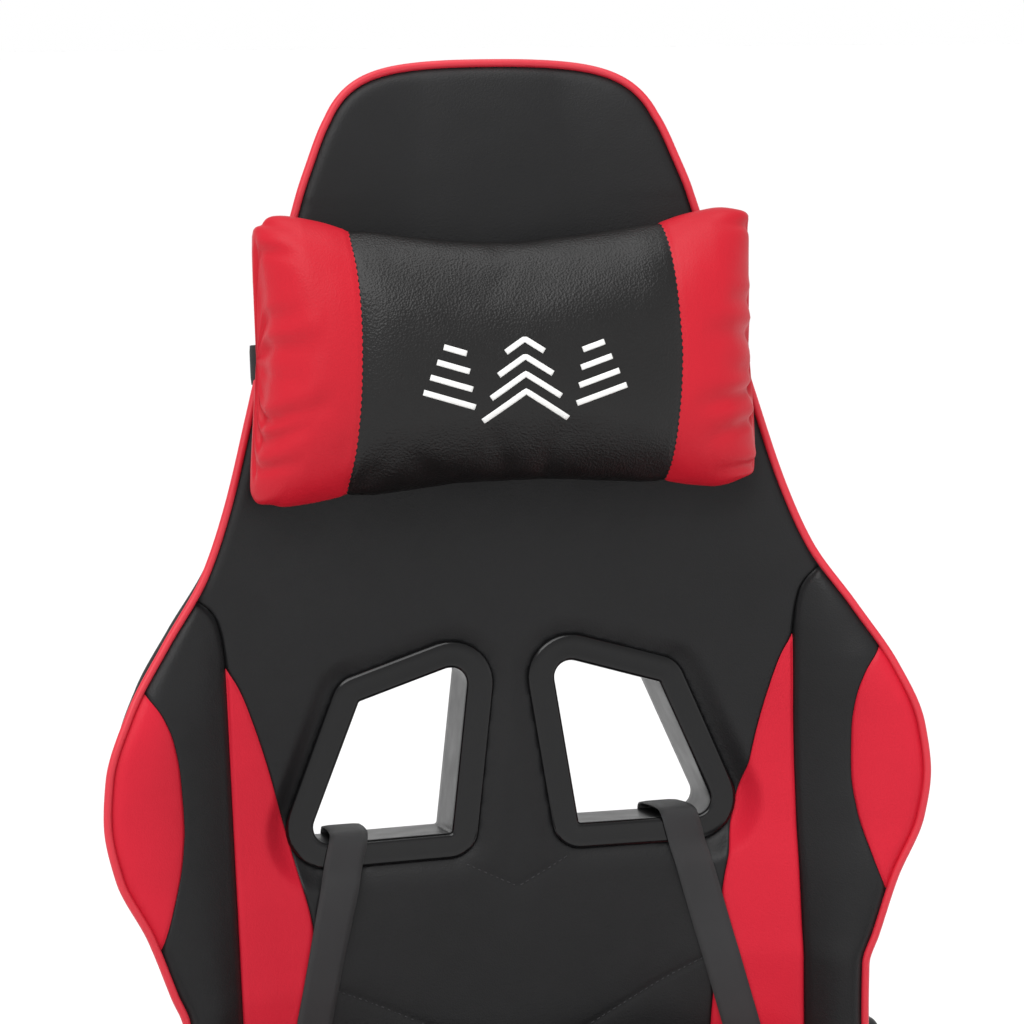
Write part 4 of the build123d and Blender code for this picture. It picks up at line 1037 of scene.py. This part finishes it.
def soft_slab(name, lo, hi, radius, crown, cells, material, replaces, shape,
              body="seat", sim=0.0):
    """A rounded, crowned closed block between two corners in metres; shape may move its points."""
    lo, hi = np.array(lo, float), np.array(hi, float)
    size = hi - lo
    counts = [max(int(round(s / cells)), 4) for s in size]
    faces, index = [], {}
    for axis in range(3):
        a, b = (axis + 1) % 3, (axis + 2) % 3
        for level in (0, counts[axis]):
            for i in range(counts[a]):
                for j in range(counts[b]):
                    quad = []
                    for di, dj in ((0, 0), (1, 0), (1, 1), (0, 1)):
                        cell = [0, 0, 0]
                        cell[axis], cell[a], cell[b] = level, i + di, j + dj
                        quad.append(index.setdefault(tuple(cell), len(index)))
                    faces.append(quad if level else quad[::-1])
    unit = np.array(list(index)) / counts
    p = lo + unit * size
    inner_lo, inner_hi = lo + radius, hi - radius
    core = np.clip(p, np.minimum(inner_lo, inner_hi), np.maximum(inner_lo, inner_hi))
    d = p - core
    length = np.linalg.norm(d, axis=1)
    scale = np.abs(d).max(1) / np.maximum(length, 1e-9)
    p = core + d * np.where(length > 1e-9, scale, 1)[:, None]
    c = unit * 2 - 1
    for axis in range(3):
        a, b = (axis + 1) % 3, (axis + 2) % 3
        swell = (1 - np.abs(c[:, a]) ** 2.5) * (1 - np.abs(c[:, b]) ** 2.5)
        p[:, axis] += np.sign(c[:, axis]) * np.abs(c[:, axis]) ** 3 * crown[axis] * swell
    obj = mesh_object(name, p, faces)
    if sim:
        inflate(obj, pressure=4.0, cap=sim, frames=14)
    write_vertices(obj, shape(read_vertices(obj.data)))
    subdivide(obj)
    finish_piece(obj, body, material, replaces)
    return obj


def colour_where(obj, field, material):
    """Cuts the mesh along field = 0 and gives material to the faces where field is positive."""
    with editing(obj) as bm:
        value = {v: field(v.co) for v in bm.verts}
        on_line = set()
        for edge in list(bm.edges):
            a, b = edge.verts
            if value[a] * value[b] >= 0 or a in on_line or b in on_line:
                continue
            t = value[a] / (value[a] - value[b])
            if t < 0.06 or t > 0.94:
                on_line.add(a if t < 0.5 else b)
                continue
            _, vert = bmesh.utils.edge_split(edge, a, t)
            value[vert] = 0.0
            on_line.add(vert)
        for face in list(bm.faces):
            crossing = [v for v in face.verts if v in on_line]
            if len(crossing) == 2 and not any(set(edge.verts) == set(crossing) for edge in face.edges):
                bmesh.utils.face_split(face, *crossing)
    obj.data.materials.append(material)
    for poly in obj.data.polygons:
        poly.material_index = 1 if field(poly.center) > 0 else 0


def seat_pieces():
    """The seat's centre with its channels and red sides, and the two bolsters."""
    lo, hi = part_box("seat_cushion")

    def red_line(y):
        return 0.128 + 0.04 * clamp((y + 0.29) / 0.4)

    def centre_shape(p):
        top = clamp((p[:, 2] - (hi.z - 0.03)) / 0.03)
        front_drop = clamp((-0.20 - p[:, 1]) / 0.09)
        p[:, 2] += top * (-0.016 * front_drop ** 2)
        ax = np.abs(p[:, 0])
        for y0 in (-0.19, -0.10, -0.01):
            d = np.abs(p[:, 1] - y0 + 0.35 * (ax - 0.06)) * 0.94
            p[:, 2] -= top * (0.0035 * hump(d, 0.0045) + 0.0020 * hump(d, 0.018))
        d = np.abs(ax - red_line(p[:, 1]))
        p[:, 2] -= top * 0.003 * hump(d, 0.004)
        tail = clamp((p[:, 1] - 0.116) / 0.030)
        p[:, 2] = np.maximum(p[:, 2], lo.z + 0.030 * tail)
        p[:, 2] -= top * 0.006 * tail ** 2
        return p

    seat = soft_slab("seat_centre_leather", (lo.x + 0.001, lo.y + 0.004, lo.z),
                     (hi.x - 0.001, hi.y - 0.004, hi.z - 0.004), 0.022, (0.0, 0.006, 0.010), 0.006, LEATHER,
                     ["seat_cushion"], centre_shape, sim=0.004)
    colour_where(seat, lambda p: min(p.z - lo.z - 0.02, abs(p.x) - float(red_line(p.y))), LEATHER_RED)

    def bolster_red(p):
        outer = min(abs(p.x) - SEAM_X, p.z - 0.405 - 0.02 * math.sin((p.y + 0.29) * 7.6))
        return max(outer, min(abs(p.x) - 0.224, p.z - 0.44, p.y + 0.285))

    for name, sign in SIDES:
        b_lo, b_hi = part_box(f"seat_bolster_{name}")

        def bolster_shape(p, sign=sign):
            across = (p[:, 0] * sign - BOLSTER_IN) / 0.055
            up = clamp((p[:, 2] - 0.42) / 0.06)
            lean = hump(across - 0.62, 0.42)
            p[:, 2] += up * (lean - 0.75) * 0.030
            nose = clamp((-0.22 - p[:, 1]) / 0.07)
            p[:, 2] -= up * 0.022 * nose ** 2
            tail = clamp((p[:, 1] - 0.06) / 0.06)
            p[:, 2] -= up * 0.006 * tail ** 2
            return p

        bolster = soft_slab(f"seat_bolster_leather_{name}", (b_lo.x + 0.001, b_lo.y + 0.003, b_lo.z + 0.001),
                            (b_hi.x - 0.001, b_hi.y - 0.003, b_hi.z - 0.006), 0.017, (0.003, 0.004, 0.005), 0.006,
                            LEATHER, [f"seat_bolster_{name}"], bolster_shape, sim=0.004)
        colour_where(bolster, bolster_red, LEATHER_RED)


def seat_board_wrap():
    """The cover's hem, pulled down over the edge of the board."""
    lo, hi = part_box("seat_board")
    middle = np.array((lo + hi) / 2)[:2]
    half = np.array((hi - lo) / 2)[:2] + 0.0009
    radius = 0.0305
    ring = []
    for quarter, (sx, sy) in enumerate(((1, 1), (-1, 1), (-1, -1), (1, -1))):
        for q in np.linspace(0, math.pi / 2, 8):
            angle = quarter * math.pi / 2 + q
            corner = middle + (half - radius) * (sx, sy)
            ring.append(corner + radius * np.array([math.cos(angle), math.sin(angle)]))
    ring = np.array(ring)
    ring = resample(np.concatenate([ring, ring[:1]]), 0.006, smooth=0)[:-1]
    path = np.concatenate([ring, np.full((len(ring), 1), lo.z + 0.0065)], 1)
    along = np.arctan2(ring[:, 1], ring[:, 0])
    path[:, 2] += 0.0005 * np.sin(along * 37) + 0.0003 * np.sin(along * 83)
    up = np.repeat(np.array([[0, 0, 1.0]]), len(path), 0)
    hem = ribbon("seat_hem", path, up, 0.0165, 0.0016, closed=True)
    finish_piece(hem, "seat", LEATHER)


def seat_piping():
    """Red piping laid along the top seam of each bolster."""
    for name, sign in SIDES:
        obj = bpy.data.objects[f"seat_bolster_leather_{name}"]
        points = []
        for y in np.linspace(-0.262, 0.095, 70):
            hit, at, normal, _ = obj.ray_cast(Vector((sign * SEAM_X, float(y), 0.7)), Vector((0, 0, -1)))
            if hit:
                points.append(np.array(at) + np.array(normal) * 0.001)
        piping = tube(f"seat_piping_{name}", resample(np.array(points), 0.004, smooth=4), 0.0028)
        finish_piece(piping, "seat", PIPING_RED)


# ------------------------------------------------------------------ hard parts
def paint_cad():
    """Materials of the CAD nodes that are shown as they are, by the start of the node's name."""
    groups = (
        (NYLON, "base_star caster_housing"), (WHEEL, "caster_wheels"), (PLYWOOD, "seat_board"),
        (STEEL, "caster_stems thrust_bearing piston_rod gas_cylinder tilt_pin seat_bolts tilt_spring recliner_units"),
        (ACETAL, "guide_bush release_pin spring_cap"),
        (PAINTED, "column_tube mechanism_housing seat_plate hinge_brackets hinge_arms back_frame armrest_feet"),
        (PLASTIC, "cover_sleeve tension_knob tilt_lock_lever height_lever recline_lever hinge_covers arm_trims "
                  "armrest_sleeves armrest_post armrest_button"))
    for node, obj in frame["nodes"].items():
        for material, prefixes in groups:
            if node.startswith(tuple(prefixes.split())):
                obj.data.materials.clear()
                obj.data.materials.append(material)


def wheel_trims():
    """Red rings and hub caps on the outer faces of the wheels."""
    for i in range(1, 6):
        joint = next(j for j in frame["joints"] if j["name"] == f"wheel_spin_{i}")
        centre, axis = Vector(joint["pos_m"]), Vector(joint["axis"]).normalized()
        parts = []
        for sign in (-1, 1):
            out = axis * sign
            ring = lathe("ring", [(11.5, 22.6), (12.6, 24.6), (17.0, 24.8), (18.0, 23.8), (18.2, 22.2), (12, 21.8),
                                  (11.5, 22.6)], centre, out)
            ring.data.materials.append(WHEEL_RED)
            cap = lathe("cap", [(0.01, 26.2), (4, 26.0), (6.6, 25.0), (7.2, 23.5), (7.2, 21.0), (0.01, 21.0)],
                        centre, out)
            cap.data.materials.append(PLASTIC)
            parts += [ring, cap]
            for k in range(5):
                turn = Matrix.Rotation(2 * math.pi * k / 5, 4, out)
                spoke_dir = turn @ out.orthogonal().normalized()
                a, b = centre + spoke_dir * 0.0068 + out * 0.0232, centre + spoke_dir * 0.0125 + out * 0.0228
                spoke = tube("spoke", [np.array(a), np.array((a + b) / 2), np.array(b)], 0.0013, sides=8)
                spoke.data.materials.append(WHEEL_RED)
                parts.append(spoke)
        finish_piece(join(f"wheel_trim_{i}", parts), f"wheels_{i}")


def armrest_pads():
    """Soft-skinned pads with a shallow dish, a parting line and rounded ends."""
    for name, _ in SIDES:
        lo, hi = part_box(f"armrest_pad_{name}")

        def pad_shape(p, lo=lo, hi=hi):
            mid_x, mid_y = (lo.x + hi.x) / 2, (lo.y + hi.y) / 2
            u, v = (p[:, 0] - mid_x) / 0.0425, (p[:, 1] - mid_y) / 0.1125
            narrow = 1 - 0.20 * np.abs(v) ** 3
            p[:, 0] = mid_x + (p[:, 0] - mid_x) * narrow
            top = clamp((p[:, 2] - (hi.z - 0.01)) / 0.01)
            p[:, 2] -= top * 0.0022 * clamp(1 - u * u) * clamp(1 - v ** 4)
            p[:, 2] -= top * 0.003 * np.abs(v) ** 4
            line = hump(p[:, 2] - lo.z - 0.011, 0.0016)
            p[:, 0] -= np.sign(u) * 0.0009 * line
            return p

        soft_slab(f"armrest_pad_skin_{name}", lo, hi, 0.0125, (0.0, 0.0, 0.0), 0.0042, PAD_SKIN,
                  [f"armrest_pad_{name}"], pad_shape, body=f"armrest_{name}")


# ------------------------------------------------------------------ studio
def place_new(name, data, toward, location=(0, 0, 0)):
    """Links a camera or light that looks back along the direction toward."""
    obj = bpy.data.objects.new(name, data)
    bpy.context.scene.collection.objects.link(obj)
    obj.location = location
    obj.rotation_euler = Vector(toward).to_track_quat("Z", "Y").to_euler()
    return obj


def studio():
    """Camera, pale floor, sky that darkens upwards, soft sun and three area lights."""
    scene = bpy.context.scene
    camera = bpy.data.cameras.new("camera")
    camera.sensor_width = 36
    camera.lens = 2072 * 36 / 1024          # 2072 px focal length in a 1024 px frame
    camera.clip_start = 0.05
    azimuth, elevation = math.radians(-10.9), math.radians(15)
    toward = (math.sin(azimuth) * math.cos(elevation), -math.cos(azimuth) * math.cos(elevation), math.sin(elevation))
    scene.camera = place_new("camera", camera, toward, (-0.246, -1.0445, 1.3086))

    floor_material, tree, shader = new_material("floor_pale")
    tone = add(tree, "TexNoise", Scale=0.6)
    shade = add_ramp(tree, tone.outputs["Fac"], (0, (0.955, 0.955, 0.955)), (1, (0.975, 0.975, 0.975)))
    tree.links.new(shade, shader.inputs["Base Color"])
    shader.inputs["Roughness"].default_value = 0.9
    floor = mesh_object("floor", [(-30, -30, 0), (30, -30, 0), (30, 30, 0), (-30, 30, 0)], [(0, 1, 2, 3)])
    floor.data.materials.append(floor_material)

    scene.world = bpy.data.worlds.new("studio")
    scene.world.use_nodes = True
    tree = scene.world.node_tree
    coords = tree.nodes.new("ShaderNodeTexCoord")
    split = add(tree, "SeparateXYZ", coords.outputs["Generated"])
    sky = add_ramp(tree, split.outputs["Z"], (0.10, (1, 1, 1)), (0.42, (0.6, 0.6, 0.6)))
    tree.links.new(sky, tree.nodes["Background"].inputs["Color"])

    sun = bpy.data.lights.new("soft_sun", "SUN")
    sun.energy, sun.angle = 1.65, 0.8
    place_new("soft_sun", sun, (-0.45, -0.75, 1.35))
    for name, place, target, size, power in (
            ("key", (-0.9, -2.2, 2.9), (0, 0.2, 0.9), (1.4, 1.0), 9),
            ("fill", (2.2, -1.6, 1.8), (0, 0.2, 0.8), (1.2, 1.6), 2),
            ("top", (0, 0.4, 3.2), (0, 0.2, 0.8), (1.6, 1.0), 12)):
        lamp = bpy.data.lights.new(name, "AREA")
        lamp.shape, lamp.energy = "RECTANGLE", power
        lamp.size, lamp.size_y = size
        place_new(name, lamp, Vector(place) - Vector(target), place)
    scene.view_settings.view_transform = "Standard"


studio()
paint_cad()
back_surfaces()
back_edges()
back_rear()
back_stitching()
harness_bezels()
head = pillow("headrest_pillow_leather", (506, 696), (167, 161), (-7, -2), (14, 27), (9, 86), (104, 112), (14, 8), 3,
              ["headrest_pillow"])
emblem(head)
pillow("lumbar_pillow_leather", (-10, 137), (171, 169), (0, 0), (3, 14), (12, 91), (112, 118), (11, 5), 8,
       ["lumbar_pillow"])
headrest_band()
lumbar_straps()
seat_pieces()
seat_board_wrap()
seat_piping()
wheel_trims()
armrest_pads()
